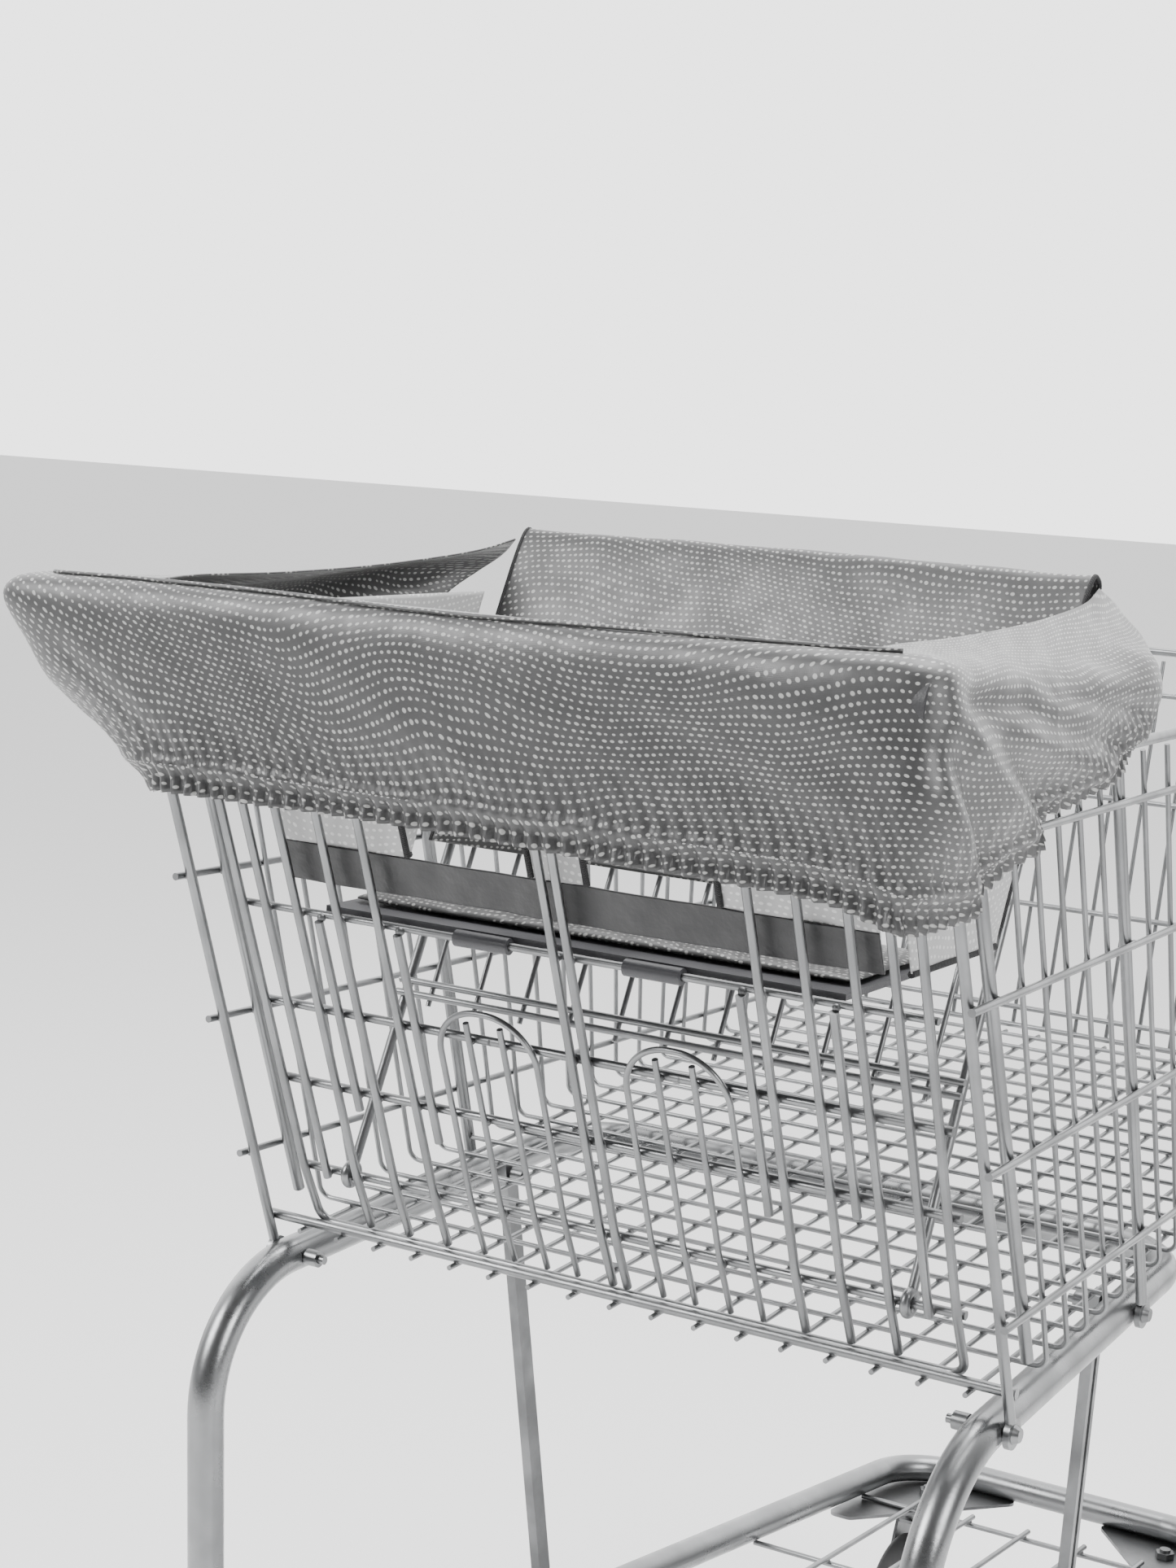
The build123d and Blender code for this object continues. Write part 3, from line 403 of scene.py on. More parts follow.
def tube_along(name, points, radius, material, sides=8):
    """A round cord, piping or stitch that follows points."""
    points = np.asarray(points, float)
    forward = np.gradient(points, axis=0)
    forward /= np.linalg.norm(forward, axis=1, keepdims=True)
    up = np.array([0.0, 0.0, 1.0])
    first = np.cross(forward, up)
    first /= np.linalg.norm(first, axis=1, keepdims=True) + 1e-12
    second = np.cross(first, forward)
    angles = np.arange(sides) * 2 * pi / sides
    ring = first[:, None] * np.cos(angles)[None, :, None] + second[:, None] * np.sin(angles)[None, :, None]
    ring = ring * radius
    verts = (points[:, None] + ring).reshape(-1, 3)
    faces = []
    for i in range(len(points) - 1):
        for k in range(sides):
            a, b = i * sides + k, i * sides + (k + 1) % sides
            faces.append((a, a + sides, b + sides, b))
    faces.append(tuple(range(sides)))
    faces.append(tuple((len(points) - 1) * sides + k for k in reversed(range(sides))))
    piece = new_piece(name, verts, faces, material)
    uv = piece.data.uv_layers.new(name="cloth")
    run = np.concatenate([[0], np.cumsum(np.linalg.norm(np.diff(points, axis=0), axis=1))])
    corner = np.empty(len(piece.data.loops), int)
    piece.data.loops.foreach_get("vertex_index", corner)
    flat = np.stack([run[corner // sides], (corner % sides) * radius], axis=1)
    uv.data.foreach_set("uv", flat.astype(np.float32).reshape(-1))
    return piece


# ------------------------------------------------------------- repeated small parts
def bead_tree(name, material, seed, long_axis):
    """Instances a small round bead on each point of a mesh and makes them real."""
    tree = bpy.data.node_groups.new(name, "GeometryNodeTree")
    tree.interface.new_socket("Points", in_out="INPUT", socket_type="NodeSocketGeometry")
    size = tree.interface.new_socket("Bead Radius", in_out="INPUT", socket_type="NodeSocketFloat")
    spread = tree.interface.new_socket("Size Spread", in_out="INPUT", socket_type="NodeSocketFloat")
    tree.interface.new_socket("Beads", in_out="OUTPUT", socket_type="NodeSocketGeometry")
    nodes, links = tree.nodes, tree.links
    start = nodes.new("NodeGroupInput")
    end = nodes.new("NodeGroupOutput")
    ball = nodes.new("GeometryNodeMeshIcoSphere")
    ball.inputs["Subdivisions"].default_value = 2
    links.new(start.outputs["Bead Radius"], ball.inputs["Radius"])
    low = nodes.new("ShaderNodeMath")
    low.operation = "SUBTRACT"
    low.inputs[0].default_value = 1.0
    high = nodes.new("ShaderNodeMath")
    high.operation = "ADD"
    high.inputs[0].default_value = 1.0
    for node in (low, high):
        links.new(start.outputs["Size Spread"], node.inputs[1])
    random = nodes.new("FunctionNodeRandomValue")
    random.data_type = "FLOAT"
    links.new(low.outputs[0], random.inputs[2])
    links.new(high.outputs[0], random.inputs[3])
    random.inputs["Seed"].default_value = seed
    shape = nodes.new("ShaderNodeVectorMath")
    shape.operation = "SCALE"
    shape.inputs[0].default_value = long_axis
    links.new(random.outputs[1], shape.inputs["Scale"])
    copies = nodes.new("GeometryNodeInstanceOnPoints")
    links.new(start.outputs["Points"], copies.inputs["Points"])
    links.new(ball.outputs["Mesh"], copies.inputs["Instance"])
    links.new(shape.outputs[0], copies.inputs["Scale"])
    real = nodes.new("GeometryNodeRealizeInstances")
    links.new(copies.outputs["Instances"], real.inputs["Geometry"])
    painted = nodes.new("GeometryNodeSetMaterial")
    painted.inputs["Material"].default_value = material
    links.new(real.outputs["Geometry"], painted.inputs["Geometry"])
    links.new(painted.outputs["Geometry"], end.inputs["Beads"])
    return tree, size.identifier, spread.identifier


def beads(name, points, radius, material, body, seed, spread=0.18, long_axis=(1, 1, 1)):
    mesh = bpy.data.meshes.new(name)
    mesh.from_pydata([tuple(p) for p in points], [], [])
    mesh.materials.append(material)
    piece = bpy.data.objects.new(name, mesh)
    bpy.context.scene.collection.objects.link(piece)
    tree, size_socket, spread_socket = bead_tree(name + "_tree", material, seed, long_axis)
    step = piece.modifiers.new("Beads", "NODES")
    step.node_group = tree
    step[size_socket] = radius
    step[spread_socket] = spread
    bake_modifiers(piece)
    piece.data.polygons.foreach_set("use_smooth", [True] * len(piece.data.polygons))
    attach(piece, body)
    return piece


def islands(node):
    """The loose wires of a CAD node, each as an array of points."""
    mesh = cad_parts[node].data
    points = np.empty(len(mesh.vertices) * 3)
    mesh.vertices.foreach_get("co", points)
    points = points.reshape(-1, 3)
    keys, where = np.unique(np.round(points, 6), axis=0, return_inverse=True)
    where = where.reshape(-1)
    parent = np.arange(len(keys))

    def root(i):
        while parent[i] != i:
            parent[i] = parent[parent[i]]
            i = parent[i]
        return i

    for edge in mesh.edges:
        a, b = root(where[edge.vertices[0]]), root(where[edge.vertices[1]])
        parent[a] = b
    labels = np.array([root(i) for i in range(len(keys))])
    return [keys[labels == label] for label in np.unique(labels)]


def centre_line(points):
    """The middle line of one wire, as a polyline, and its radius."""
    centre = points.mean(axis=0)
    axis = np.linalg.svd(points - centre, full_matrices=False)[2][0]
    run = (points - centre) @ axis
    order = np.argsort(run)
    cuts = np.where(np.diff(run[order]) > 0.0012)[0] + 1
    groups = np.split(order, cuts)
    line = np.array([points[g].mean(axis=0) for g in groups if len(g) > 2])
    end = points[groups[-1]]
    radius = np.linalg.norm(end - end.mean(axis=0), axis=1).max()
    return line, radius


def closest(p, q, r, s):
    """The nearest points of segments pq and rs."""
    u, v, w = q - p, s - r, p - r
    a, b, c, d, e = u @ u, u @ v, v @ v, u @ w, v @ w
    spread = a * c - b * b
    t = np.clip((b * e - c * d) / spread, 0, 1) if spread > 1e-12 else 0.0
    o = np.clip((b * t + e) / c, 0, 1) if c > 1e-12 else 0.0
    t = np.clip((b * o - d) / a, 0, 1) if a > 1e-12 else 0.0
    return p + u * t, r + v * o


def crossings(first, second):
    """Where the wires of one CAD node touch those of another."""
    found = []
    left = [centre_line(p) for p in islands(first)]
    right = left if first == second else [centre_line(p) for p in islands(second)]
    for i, (line_a, radius_a) in enumerate(left):
        for j, (line_b, radius_b) in enumerate(right):
            if first == second and j <= i:
                continue
            best = None
            for p, q in zip(line_a[:-1], line_a[1:]):
                for r, s in zip(line_b[:-1], line_b[1:]):
                    x, y = closest(p, q, r, s)
                    gap = np.linalg.norm(x - y)
                    if best is None or gap < best[0]:
                        best = (gap, x, y)
            if best and best[0] < radius_a + radius_b + 0.0012:
                gap, x, y = best
                share = radius_a / (radius_a + radius_b)
                found.append(x + (y - x) * share)
    return found


# ------------------------------------------------------------------------ operators
finishes = {}


class CART_OT_metalwork(bpy.types.Operator):
    """Gives every metal, plastic and rubber part its finish"""

    bl_idname = "cart.metalwork"
    bl_label = "Metal and plastic finishes"

    def execute(self, context):
        metal = context.scene.cart_metal
        zinc = tuple(metal.zinc_colour)
        finishes["wire"] = plated_steel("plated_wire", zinc, metal.wire_roughness, 0.16)
        finishes["tube"] = plated_steel("plated_tube", tint(zinc, 1.06), 0.24, 0.12)
        finishes["pressed"] = plated_steel("pressed_steel", tint(zinc, 0.9), 0.36, 0.3)
        finishes["bolt"] = plated_steel("bolt_zinc", tint(zinc, 0.95), 0.3, 0.35)
        finishes["weld"] = plated_steel("weld_bead", tint(zinc, 0.85), 0.42, 0.4)
        finishes["grip"] = moulded_plastic("grip_plastic", (0.03, 0.03, 0.032, 1), 0.45, 900.0)
        finishes["wheel"] = moulded_plastic("wheel_plastic", (0.16, 0.16, 0.165, 1), 0.42, 500.0)
        finishes["seat"] = moulded_plastic("seat_plastic", (0.05, 0.05, 0.055, 1), 0.38, 700.0)
        finishes["tyre"] = tyre_rubber()
        tubes = ("upper_frame_tube", "lower_frame_tube", "handle_bar")
        pressed = ("front_supports", "frame_cross_bar", "caster_plates", "caster_races", "rear_forks",
                   "caster_fork_left", "caster_fork_right", "handle_brackets")
        bolts = ("frame_bolts", "bolt_spacers", "caster_kingpins", "rear_axles", "front_axle_left",
                 "front_axle_right")
        for name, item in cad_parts.items():
            kind = "wire"
            if name in tubes:
                kind = "tube"
            elif name in pressed:
                kind = "pressed"
            elif name in bolts:
                kind = "bolt"
            elif name.startswith("tyre_"):
                kind = "tyre"
            elif name.startswith("wheel_"):
                kind = "wheel"
            elif name in ("handle_grip", "handle_end_caps"):
                kind = "grip"
            elif name == "seat_pan":
                kind = "seat"
            if not item.material_slots:
                item.data.materials.append(finishes[kind])
            for place in item.material_slots:
                place.material = finishes[kind]
        return {"FINISHED"}


class CART_OT_welds(bpy.types.Operator):
    """Lays a small bead where two wires are welded"""

    bl_idname = "cart.welds"
    bl_label = "Weld beads"

    def execute(self, context):
        metal = context.scene.cart_metal
        thin = 0.0018 * metal.bead_swell
        thick = 0.0026 * metal.bead_swell
        runs = {
            "floor_welds": ([("floor_long_wires", "floor_cross_wires"), ("rear_floor_rod", "floor_long_wires")],
                            thin, "chassis"),
            "side_welds": ([("side_wires_left", "side_rods"), ("side_wires_right", "side_rods"),
                            ("side_wires_left", "rim_rods"), ("side_wires_right", "rim_rods"),
                            ("front_wires", "front_rods"), ("front_wires", "rim_rods")], thin, "chassis"),
            "post_welds": ([("rear_posts", "side_rods"), ("second_posts", "side_rods"),
                            ("middle_posts", "side_rods"), ("rear_posts", "rim_rods"),
                            ("rim_rods", "rim_rods")], thick, "chassis"),
            "tray_welds": ([("tray_wires", "tray_wires")], thick, "chassis"),
            "gate_welds": ([("gate_upright_wires", "gate_cross_rods"), ("gate_outer_wire", "gate_cross_rods"),
                            ("gate_upright_wires", "gate_pivot_rod"), ("gate_arches", "gate_cross_rods"),
                            ("gate_upright_wires", "seat_pan_rod")], thick, "gate"),
            "seat_welds": ([("seat_back_wires", "seat_cross_rods"), ("seat_side_rods", "seat_cross_rods")],
                           thin, "seat_back"),
        }
        for name, (pairs, radius, body) in runs.items():
            points = [p for a, b in pairs for p in crossings(a, b)]
            beads(name, points, radius, finishes["weld"], body, metal.seed)
        return {"FINISHED"}


# Sizes of the lining, in metres. Heights are above the foot of the seat band.
LEG_CENTRE = 0.066
LEG_HALF = 0.046
LEG_TOP = 0.100
LEG_ROUND = 0.030
PANEL_FOOT = 0.022
BINDING_FOOT = 0.027
BAND_HEIGHT = 0.026
# The lining's sides, in millimetres from the rear floor rod: where they start and end at the top, and how
# much of each end is cut away at the foot.
SIDE_REAR = -135
SIDE_FRONT = 138
SIDE_REAR_CUT = 73
SIDE_FRONT_CUT = 78

COVER_KNOTS = [
    # inner edge, crest, middle, hem, from the front of the right side to its rear corner
    ((222, 178, 476), (237, 180, 462), (260, 148, 434), (262, 126, 404)),
    ((228, 140, 468), (270, 128, 452), (285, 110, 424), (274, 92, 402)),
    ((232, 74, 462), (299, 66, 444), (306, 68, 410), (296, 60, 388)),
    ((234, 0, 458), (304, -20, 437), (306, -18, 402), (295, -14, 370)),
    ((236, -80, 456), (304, -100, 439), (306, -92, 392), (296, -80, 350)),
    ((238, -150, 456), (303, -172, 443), (306, -168, 384), (298, -165, 322)),
    ((236, -196, 455), (299, -232, 452), (303, -243, 385), (298, -246, 318)),
]
COVER_REAR = [
    ((190, -200, 454), (246, -247, 452), (250, -252, 392), (250, -250, 329)),
    ((90, -202, 453), (120, -248, 452), (122, -253, 396), (122, -251, 334)),
    ((0, -202, 453), (0, -248, 452), (0, -253, 396), (0, -251, 336)),
]


# The hem is drawn in round the rear left corner, so the cloth there slants forward as it falls.
COVER_LEFT = [
    ((-90, -202, 453), (-120, -248, 452), (-122, -253, 396), (-122, -251, 336)),
    ((-180, -200, 453), (-215, -249, 451), (-204, -252, 390), (-186, -248, 335)),
    ((-228, -196, 454), (-299, -251, 451), (-293, -247, 412), (-226, -206, 330)),
    ((-234, -186, 455), (-304, -214, 449), (-302, -205, 408), (-268, -150, 326)),
    ((-238, -150, 456), (-304, -172, 443), (-300, -150, 384), (-288, -118, 326)),
    ((-236, -80, 456), (-304, -100, 439), (-306, -84, 388), (-295, -62, 346)),
]


def mirrored(section):
    return tuple((-x, y, z) for x, y, z in section)


class CART_OT_outer_cover(bpy.types.Operator):
    """The cover's outer cloth, over the handle and both sides, with its gathered hem"""

    bl_idname = "cart.outer_cover"
    bl_label = "Outer cover"

    def execute(self, context):
        cover = context.scene.cart_cover
        satin, lining = tuple(cover.cloth_colour), tuple(cover.pale_colour)
        finishes["cloth"] = dotted_cloth("dotted_satin", satin, (0.34, 0.34, 0.33, 1), cover)
        finishes["pale"] = dotted_cloth("pale_lining", lining, (0.72, 0.72, 0.71, 1), cover, 1.15)
        finishes["dark"] = plain_cloth("dark_satin", (0.016, 0.016, 0.017, 1), 0.4)
        finishes["tape"] = herringbone_tape("herringbone_tape", (0.02, 0.02, 0.021, 1))
        finishes["thread"] = plain_cloth("sewing_thread", (0.42, 0.42, 0.42, 1), 0.6)
        right = list(COVER_KNOTS)
        sections = right + COVER_REAR + COVER_LEFT + [mirrored(s) for s in reversed(right[:4])]
        knots = np.array([[tuple(at(*p)) for p in section] for section in sections])
        columns, rows = ((620, 74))
        lengthwise = through(knots, columns)
        grid = np.stack([through(lengthwise[i], rows) for i in range(columns)], axis=1)

        def fold(along, down):
            share = down / (down[-1:] + 1e-9)
            x = grid[..., 0] / MM
            y = (grid[..., 1] - ROD.y) / MM
            z = (grid[..., 2] - ROD.z) / MM
            flank = np.clip((np.abs(x) - 255) / 35, 0, 1)
            rear = 1 - flank
            gather = np.clip((share - 0.62) / 0.38, 0, 1) ** 2
            wave = np.sin(along * 2 * pi / cover.ruffle_pitch + 2.2 * soft_noise(along, down * 0.1, 28, 3))
            casing = np.exp(-((share - 0.9) / 0.018) ** 2)
            out = cover.ruffle_depth * wave * gather * (1 - 0.6 * casing)
            out += -0.0022 * casing + 0.0014 * np.exp(-((share - 0.95) / 0.02) ** 2)
            soft = soft_noise(along + 0.45 * down, down * 0.45, 9, 11)
            out += rear * 0.0042 * soft * np.clip(share * 3 - 0.7, 0, 1)
            long_fold = soft_noise(along * 1.0 + down * 1.6, down * 0.2, 24, 5)
            out += rear * 0.0016 * long_fold * np.clip(share * 2.4 - 0.5, 0, 1)
            side_fold = 0
            for y0, z0, y1, z1, depth, width in (
                (-232, 446, -20, 330, 0.0085, 15), (-215, 440, 60, 385, 0.007, 12),
                (-240, 420, -150, 320, 0.006, 14), (-120, 436, 70, 405, 0.005, 9),
            ):
                run = np.hypot(y1 - y0, z1 - z0)
                t = ((y - y0) * (y1 - y0) + (z - z0) * (z1 - z0)) / run ** 2
                off = ((z - z0) * (y1 - y0) - (y - y0) * (z1 - z0)) / run
                reach = np.clip(t * 6, 0, 1) * np.clip((1.15 - t) * 3, 0, 1)
                side_fold = side_fold + reach * depth * (np.exp(-((off - 5) / width) ** 2)
                                                         - 0.9 * np.exp(-((off + width) / width) ** 2))
            out += flank * side_fold * np.clip(share * 4 - 0.8, 0, 1)
            puff = flank * 0.004 * soft_noise(along, down, 16, 8) * np.clip(share * 3 - 0.3, 0, 1)
            return -(out + puff)

        piece = cloth_sheet("cover_outer_cloth", grid, finishes["cloth"], cover.thickness, fold)
        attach(piece, "chassis")
        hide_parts("cover_skirt", "cover_side_left", "cover_side_right")
        crest_row = int(rows * 0.27)
        rear = [i for i in range(columns) if (grid[crest_row, i, 1] - ROD.y) / MM < -228]
        crest = np.array([grid[crest_row, i] + (0, -0.0012, 0.0016) for i in rear])
        piping = tube_along("cover_piping", crest, 0.0013, finishes["cloth"])
        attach(piping, "chassis")
        hem_row = int(rows * 0.9)
        hem = grid[hem_row]
        run = np.concatenate([[0], np.cumsum(np.linalg.norm(np.diff(hem, axis=0), axis=1))])
        wanted = np.arange(0.004, run[-1], 0.0042)
        outward = np.array([hem[:, 0] * 0.6, np.minimum(hem[:, 1] - ROD.y, 0), 0 * run]).T
        outward /= np.linalg.norm(outward, axis=1, keepdims=True) + 1e-9
        seam = hem + outward * 0.0018
        points = np.stack([np.interp(wanted, run, seam[:, k]) for k in range(3)], axis=1)
        stitches = beads("hem_stitches", points, 0.0006, finishes["thread"], "chassis", 5, 0.1,
                         (1.6, 1.6, 0.7))
        return {"FINISHED"}


class CART_OT_backrest(bpy.types.Operator):
    """The cloth over the seat back: the face behind the child, the top fold and the flap in front"""

    bl_idname = "cart.backrest"
    bl_label = "Backrest cloth"

    def execute(self, context):
        cover = context.scene.cart_cover
        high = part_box("cover_backrest")[1]
        columns, rows = ((180, 170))
        half = high.x - 0.001
        foot = at(0, 78, 268)
        head = at(0, 180, 482)
        lean = (head - foot).normalized()
        out = Vector((0, lean.z, -lean.y))
        thick = 0.022
        section = [foot, foot + lean * 0.06 - out * 0.001, foot + lean * 0.15 - out * 0.002,
                   head - lean * 0.008,
                   head + out * thick * 0.45 + lean * 0.004, head + out * (thick - 0.003) - lean * 0.008,
                   head + out * (thick + 0.001) - lean * 0.07, head + out * (thick + 0.001) - lean * 0.14]
        profile = through(np.array([tuple(p) for p in section]), rows)
        grid = np.repeat(profile[:, None, :], columns, axis=1)
        share = np.linspace(-1, 1, columns)
        grid[..., 0] = share[None, :] * half

        def fold(along, down):
            edge = np.abs(share)[None, :] ** 6
            soft = soft_noise(along, down * 0.6, 11, 21) * 0.0022
            drape = soft_noise(along + 0.8 * down, down * 0.15, 26, 23) * 0.0012
            return (soft + drape) * (1 - edge) + 0 * down

        piece = cloth_sheet("cover_backrest_cloth", grid, finishes["cloth"], cover.thickness, fold)
        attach(piece, "seat_back")
        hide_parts("cover_backrest")
        depth = sum((b - a).length for a, b in zip(section, section[1:]))
        edges = []
        for side in (0, -1):
            line = grid[:, side]
            name = "left" if side == 0 else "right"
            edges.append(tube_along(f"backrest_edge_{name}", line, 0.0016, finishes["tape"]))
        for edge in edges:
            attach(edge, "seat_back")
        return {"FINISHED"}


class CART_OT_liner(bpy.types.Operator):
    """The lining inside the seat: pale front panel with leg openings, dark seat band and the two sides"""

    bl_idname = "cart.liner"
    bl_label = "Seat lining"

    def execute(self, context):
        cover = context.scene.cart_cover
        low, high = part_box("cover_seat_band")
        slope = (high.y - low.y) / (high.z - low.z)
        half = high.x - 0.001

        def front(z):
            """Middle of the seat band's cloth at a height."""
            return high.y - 0.0015 - slope * (z - low.z)

        columns, rows = ((300, 70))
        x = np.linspace(-half, half, columns)
        z = np.linspace(high.z, low.z + PANEL_FOOT, rows)
        grid = np.empty((rows, columns, 3))
        grid[..., 0] = x[None, :]
        grid[..., 2] = z[:, None]
        grid[..., 1] = np.array([front(v) for v in z])[:, None]
        middle = np.abs(grid[:-1, :-1, 0] + 0.5 * (x[1] - x[0]))
        height = grid[:-1, :-1, 2] - low.z
        bow = LEG_TOP - LEG_ROUND * ((middle - LEG_CENTRE) / LEG_HALF) ** 4
        holes = (abs(middle - LEG_CENTRE) < LEG_HALF) & (height < bow)

        def fold(along, down):
            return soft_noise(along, down * 0.35, 34, 31) * 0.0016

        panel = cloth_sheet("liner_front_panel", grid, finishes["pale"], cover.thickness, fold, holes)
        slant = (1 + slope ** 2) ** 0.5
        panel_depth = (high.z - low.z - PANEL_FOOT) * slant
        opening = 2 * LEG_HALF * (LEG_TOP - PANEL_FOOT - LEG_ROUND / 5) * slant
        area = 2 * half * panel_depth - 2 * opening
        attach(panel, "gate")
        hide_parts("cover_seat_band")
        z = np.linspace(low.z + BAND_HEIGHT, low.z, rows // 2)
        band = np.empty((rows // 2, columns, 3))
        band[..., 0] = x[None, :]
        band[..., 2] = z[:, None]
        band[..., 1] = np.array([front(v) for v in z])[:, None] - 0.0008

        def slack(along, down):
            return soft_noise(along, down * 0.5, 24, 37) * 0.0018

        strip = cloth_sheet("seat_band_cloth", band, finishes["dark"], cover.thickness, slack)
        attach(strip, "gate")
        for side in (-1, 1):
            outline = []
            for t in np.linspace(0, 1, 40):
                offset = LEG_HALF * cos(pi * t)
                rise = LEG_TOP - LEG_ROUND * (offset / LEG_HALF) ** 4
                outline.append((side * (LEG_CENTRE - offset), rise))
            near, far = (side * (LEG_CENTRE + end * LEG_HALF) for end in (-1, 1))
            line = [(near, BINDING_FOOT)] + outline + [(far, BINDING_FOOT)]
            ring = np.array([(px, front(low.z + pz) - 0.0012, low.z + pz) for px, pz in line])
            piece = tube_along(f"leg_binding_{'left' if side < 0 else 'right'}", through(ring, 90), 0.0022,
                               finishes["tape"])
            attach(piece, "gate")
        side_low, side_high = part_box("cover_liner_sides")
        wall_x = side_high.x - 0.0015
        count_z, count_y = ((60, 90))
        for side in (-1, 1):
            wall = np.empty((count_z, count_y, 3))
            for r, t in enumerate(np.linspace(0, 1, count_z)):
                z_here = side_high.z + (side_low.z - side_high.z) * t
                rear_y = ROD.y + (SIDE_REAR + SIDE_REAR_CUT * t) * MM
                fore_y = ROD.y + (SIDE_FRONT - SIDE_FRONT_CUT * t) * MM
                wall[r, :, 0] = side * wall_x
                wall[r, :, 1] = np.linspace(rear_y, fore_y, count_y)[::side]
                wall[r, :, 2] = z_here

            def rumple(along, down):
                return soft_noise(along + down * 0.6, down * 0.4, 22, 41 + side) * 0.0008

            name = "left" if side < 0 else "right"
            cloth = cloth_sheet(f"liner_side_{name}", wall, finishes["pale"], cover.thickness, rumple)
            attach(cloth, "gate")
            foot = wall[-1] + (0, 0, -0.0006)
            binding = tube_along(f"side_binding_{name}", foot, 0.0024, finishes["tape"])
            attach(binding, "gate")
            if side > 0:
                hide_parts("cover_liner_sides")
        return {"FINISHED"}


class CART_OT_seat_pad(bpy.types.Operator):
    """A crowned pad sewn in channels on the seat pan"""

    bl_idname = "cart.seat_pad"
    bl_label = "Seat pad"

    def execute(self, context):
        low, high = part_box("cover_seat_pad")
        columns, rows = 96, 40
        wide, deep = (high.x - low.x) / 2, (high.y - low.y) / 2
        centre = (low + high) / 2
        points, faces = [], []
        for face in (1, -1):
            for r in range(rows):
                for c in range(columns):
                    u, v = 2 * c / (columns - 1) - 1, 2 * r / (rows - 1) - 1
                    crown = (max(0, 1 - abs(u) ** 7) * max(0, 1 - abs(v) ** 5)) ** 0.5
                    pull_x = 1 - 0.02 * (1 - abs(v) ** 2)
                    pull_y = 1 - 0.03 * (1 - abs(u) ** 2)
                    corner = 1 - 0.035 * (abs(u) * abs(v)) ** 6
                    channel = min(1.0, abs((u * 4.5) % 1 - 0.5) * 7)
                    bulge = 0.0042 * crown * (0.45 + 0.55 * channel) if face > 0 else 0.0024 * crown
                    rough = 0.0004 * noise.noise(Vector((u * 7, v * 5, 2))) * crown
                    points.append((centre.x + u * wide * pull_x * corner, centre.y + v * deep * pull_y * corner,
                                 centre.z + face * (0.0004 + bulge) + rough))
        for face, base in ((1, 0), (-1, rows * columns)):
            for r in range(rows - 1):
                for c in range(columns - 1):
                    i = base + r * columns + c
                    quad = (i, i + 1, i + columns + 1, i + columns)
                    faces.append(quad if face > 0 else quad[::-1])
        rim = [c for c in range(columns)] + [r * columns + columns - 1 for r in range(1, rows)]
        rim += [(rows - 1) * columns + c for c in range(columns - 2, -1, -1)]
        rim += [r * columns for r in range(rows - 2, 0, -1)]
        offset = rows * columns
        for a, b in zip(rim, rim[1:] + rim[:1]):
            faces.append((b, a, a + offset, b + offset))
        pad = new_piece("seat_pad_cloth", points, faces, finishes["cloth"])
        uv = pad.data.uv_layers.new(name="cloth")
        for loop in pad.data.loops:
            point = pad.data.vertices[loop.vertex_index].co
            uv.data[loop.index].uv = (point.x, point.y)
        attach(pad, "seat_pan")
        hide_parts("cover_seat_pad")
        return {"FINISHED"}


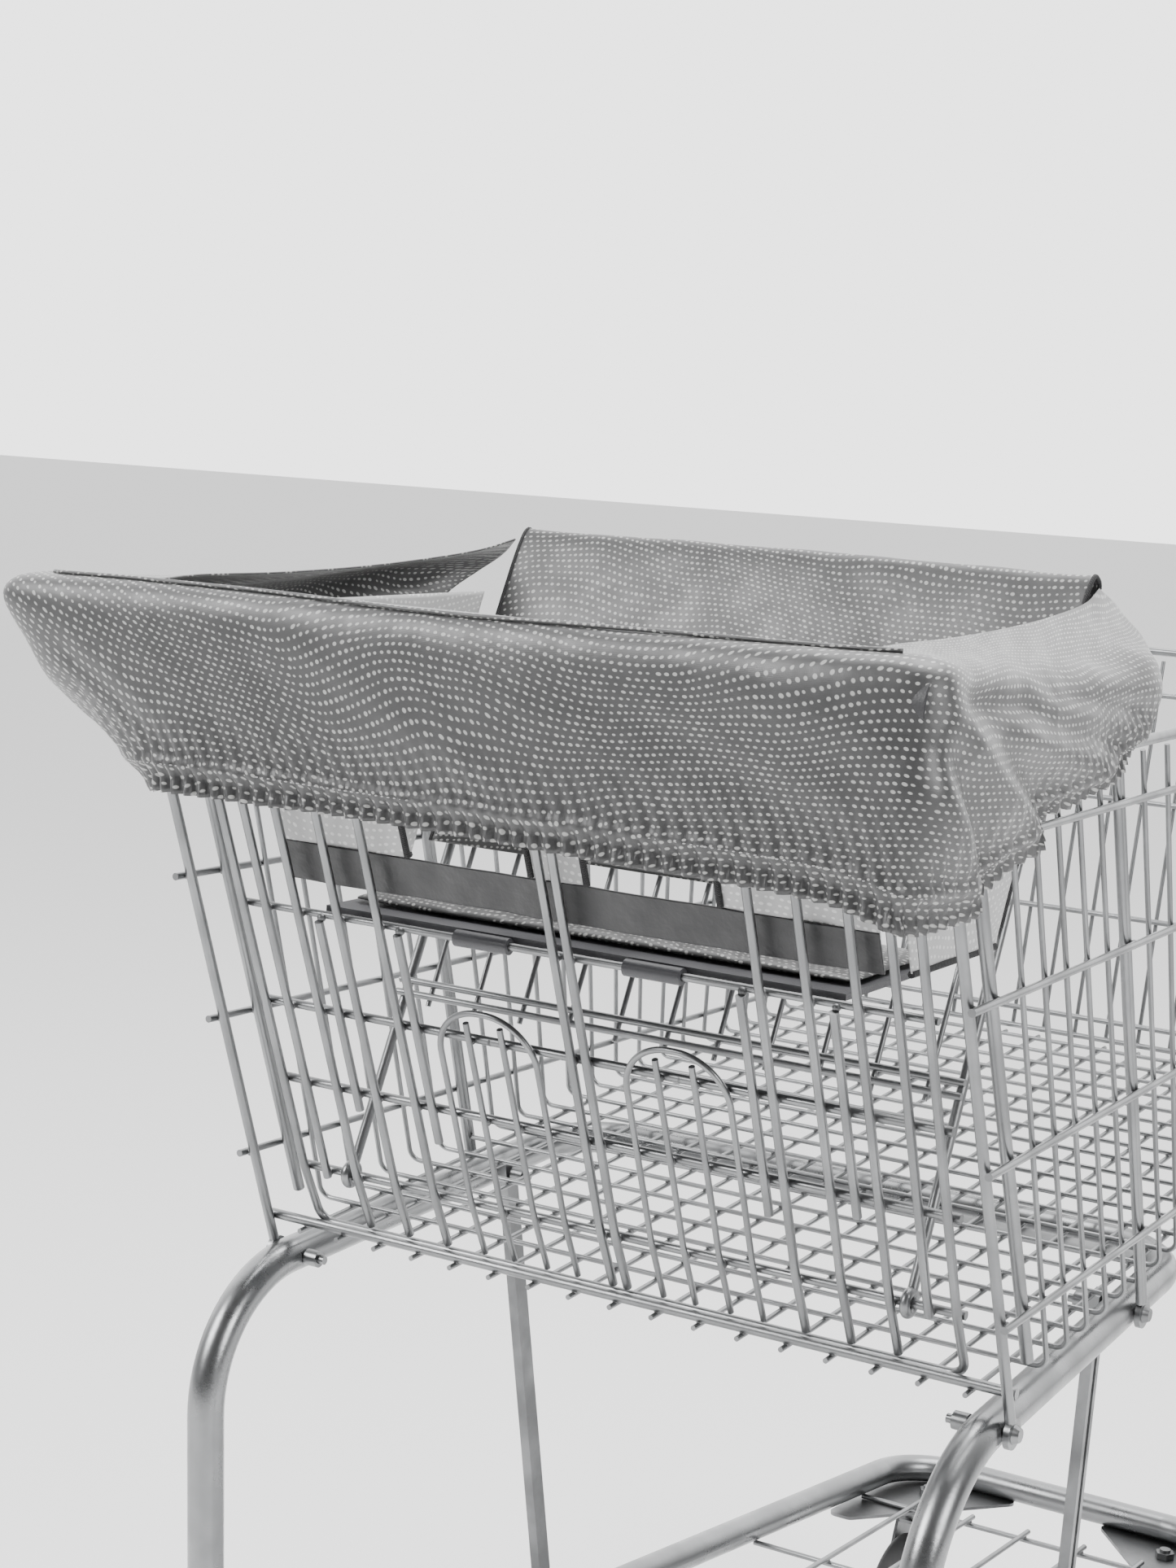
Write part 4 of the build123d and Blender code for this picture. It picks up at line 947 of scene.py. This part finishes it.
class CART_OT_stage(bpy.types.Operator):
    """The floor, the soft lamps and the camera"""

    bl_idname = "cart.stage"
    bl_label = "Stage, lamps and camera"

    def execute(self, context):
        stage = context.scene.cart_stage
        half = stage.floor_size / 2
        ground = Finish("pale_floor")
        ground.feed("Base Color", (0.93, 0.93, 0.93, 1))
        ground.feed("Roughness", 0.7)
        floor = new_piece("floor", [(-half, -half, 0), (half, -half, 0), (half, half, 0), (-half, half, 0)],
                          [(0, 1, 2, 3)], ground.material, smooth=False)
        world = bpy.data.worlds.new("pale_room")
        world.use_nodes = True
        tree = world.node_tree
        back = tree.nodes["Background"]
        back.inputs["Color"].default_value = (1, 1, 1, 1)
        sky = tree.nodes.new("ShaderNodeTexCoord")
        turned = tree.nodes.new("ShaderNodeVectorMath")
        turned.operation = "DOT_PRODUCT"
        turned.inputs[1].default_value = (-0.5, 0.86, 0.25)
        tree.links.new(sky.outputs["Generated"], turned.inputs[0])
        fade = tree.nodes.new("ShaderNodeMapRange")
        fade.interpolation_type = "SMOOTHSTEP"
        limits = {"From Min": 0.1, "From Max": 0.75, "To Min": stage.room_dim, "To Max": stage.room}
        for key, value in limits.items():
            fade.inputs[key].default_value = value
        tree.links.new(turned.outputs["Value"], fade.inputs["Value"])
        tree.links.new(fade.outputs[0], back.inputs["Strength"])
        context.scene.world = world
        target = Vector((0, 0, 0.8))
        lamps = (
            ("key", (-2.2, -3.0, 3.2), 2.2, stage.key_power),
            ("side", (3.4, -1.2, 2.4), 1.8, stage.key_power * 0.5),
            ("top", (0.2, 0.6, 4.0), 2.6, stage.key_power * 0.8),
        )
        for name, place, size, power in lamps:
            data = bpy.data.lights.new(name, "AREA")
            data.shape = "DISK"
            data.size = size
            data.energy = power
            lamp = bpy.data.objects.new(name, data)
            lamp.location = place
            lamp.rotation_euler = (target - Vector(place)).to_track_quat("-Z", "Y").to_euler()
            context.scene.collection.objects.link(lamp)
        turn, tip, roll = radians(30.37), radians(11.54), radians(3.28)
        look = Vector((-sin(turn) * cos(tip), cos(turn) * cos(tip), -sin(tip)))
        right = Vector((cos(turn), sin(turn), 0))
        up = right.cross(look)
        x_axis = right * cos(roll) + up * sin(roll)
        y_axis = up * cos(roll) - right * sin(roll)
        data = bpy.data.cameras.new("camera")
        data.lens = stage.lens
        data.sensor_width = 36.0
        data.shift_x = -0.0158
        data.shift_y = 0.1196
        camera = bpy.data.objects.new("camera", data)
        place = at(858, -1492, 569)
        camera.matrix_world = Matrix((
            (x_axis.x, y_axis.x, -look.x, place.x),
            (x_axis.y, y_axis.y, -look.y, place.y),
            (x_axis.z, y_axis.z, -look.z, place.z),
            (0, 0, 0, 1),
        ))
        context.scene.collection.objects.link(camera)
        context.scene.camera = camera
        return {"FINISHED"}


ORDER = (CART_OT_metalwork, CART_OT_welds, CART_OT_outer_cover, CART_OT_backrest, CART_OT_liner,
         CART_OT_seat_pad, CART_OT_stage)


class CART_PT_panel(bpy.types.Panel):
    bl_label = "Shopping cart"
    bl_idname = "CART_PT_panel"
    bl_space_type = "VIEW_3D"
    bl_region_type = "UI"
    bl_category = "Cart"

    def draw(self, context):
        for operator in ORDER:
            self.layout.operator(operator.bl_idname)
        for group in (context.scene.cart_cover, context.scene.cart_metal, context.scene.cart_stage):
            box = self.layout.box()
            for name in group.__annotations__:
                box.prop(group, name)


CLASSES = (CoverSettings, MetalSettings, StageSettings) + ORDER + (CART_PT_panel,)


def register():
    for item in CLASSES:
        bpy.utils.register_class(item)
    bpy.types.Scene.cart_cover = PointerProperty(type=CoverSettings)
    bpy.types.Scene.cart_metal = PointerProperty(type=MetalSettings)
    bpy.types.Scene.cart_stage = PointerProperty(type=StageSettings)


def unregister():
    for name in ("cart_stage", "cart_metal", "cart_cover"):
        delattr(bpy.types.Scene, name)
    for item in reversed(CLASSES):
        bpy.utils.unregister_class(item)


def main():
    register()
    for operator in ORDER:
        group, name = operator.bl_idname.split(".")
        getattr(getattr(bpy.ops, group), name)()


if __name__ == "__main__":
    main()
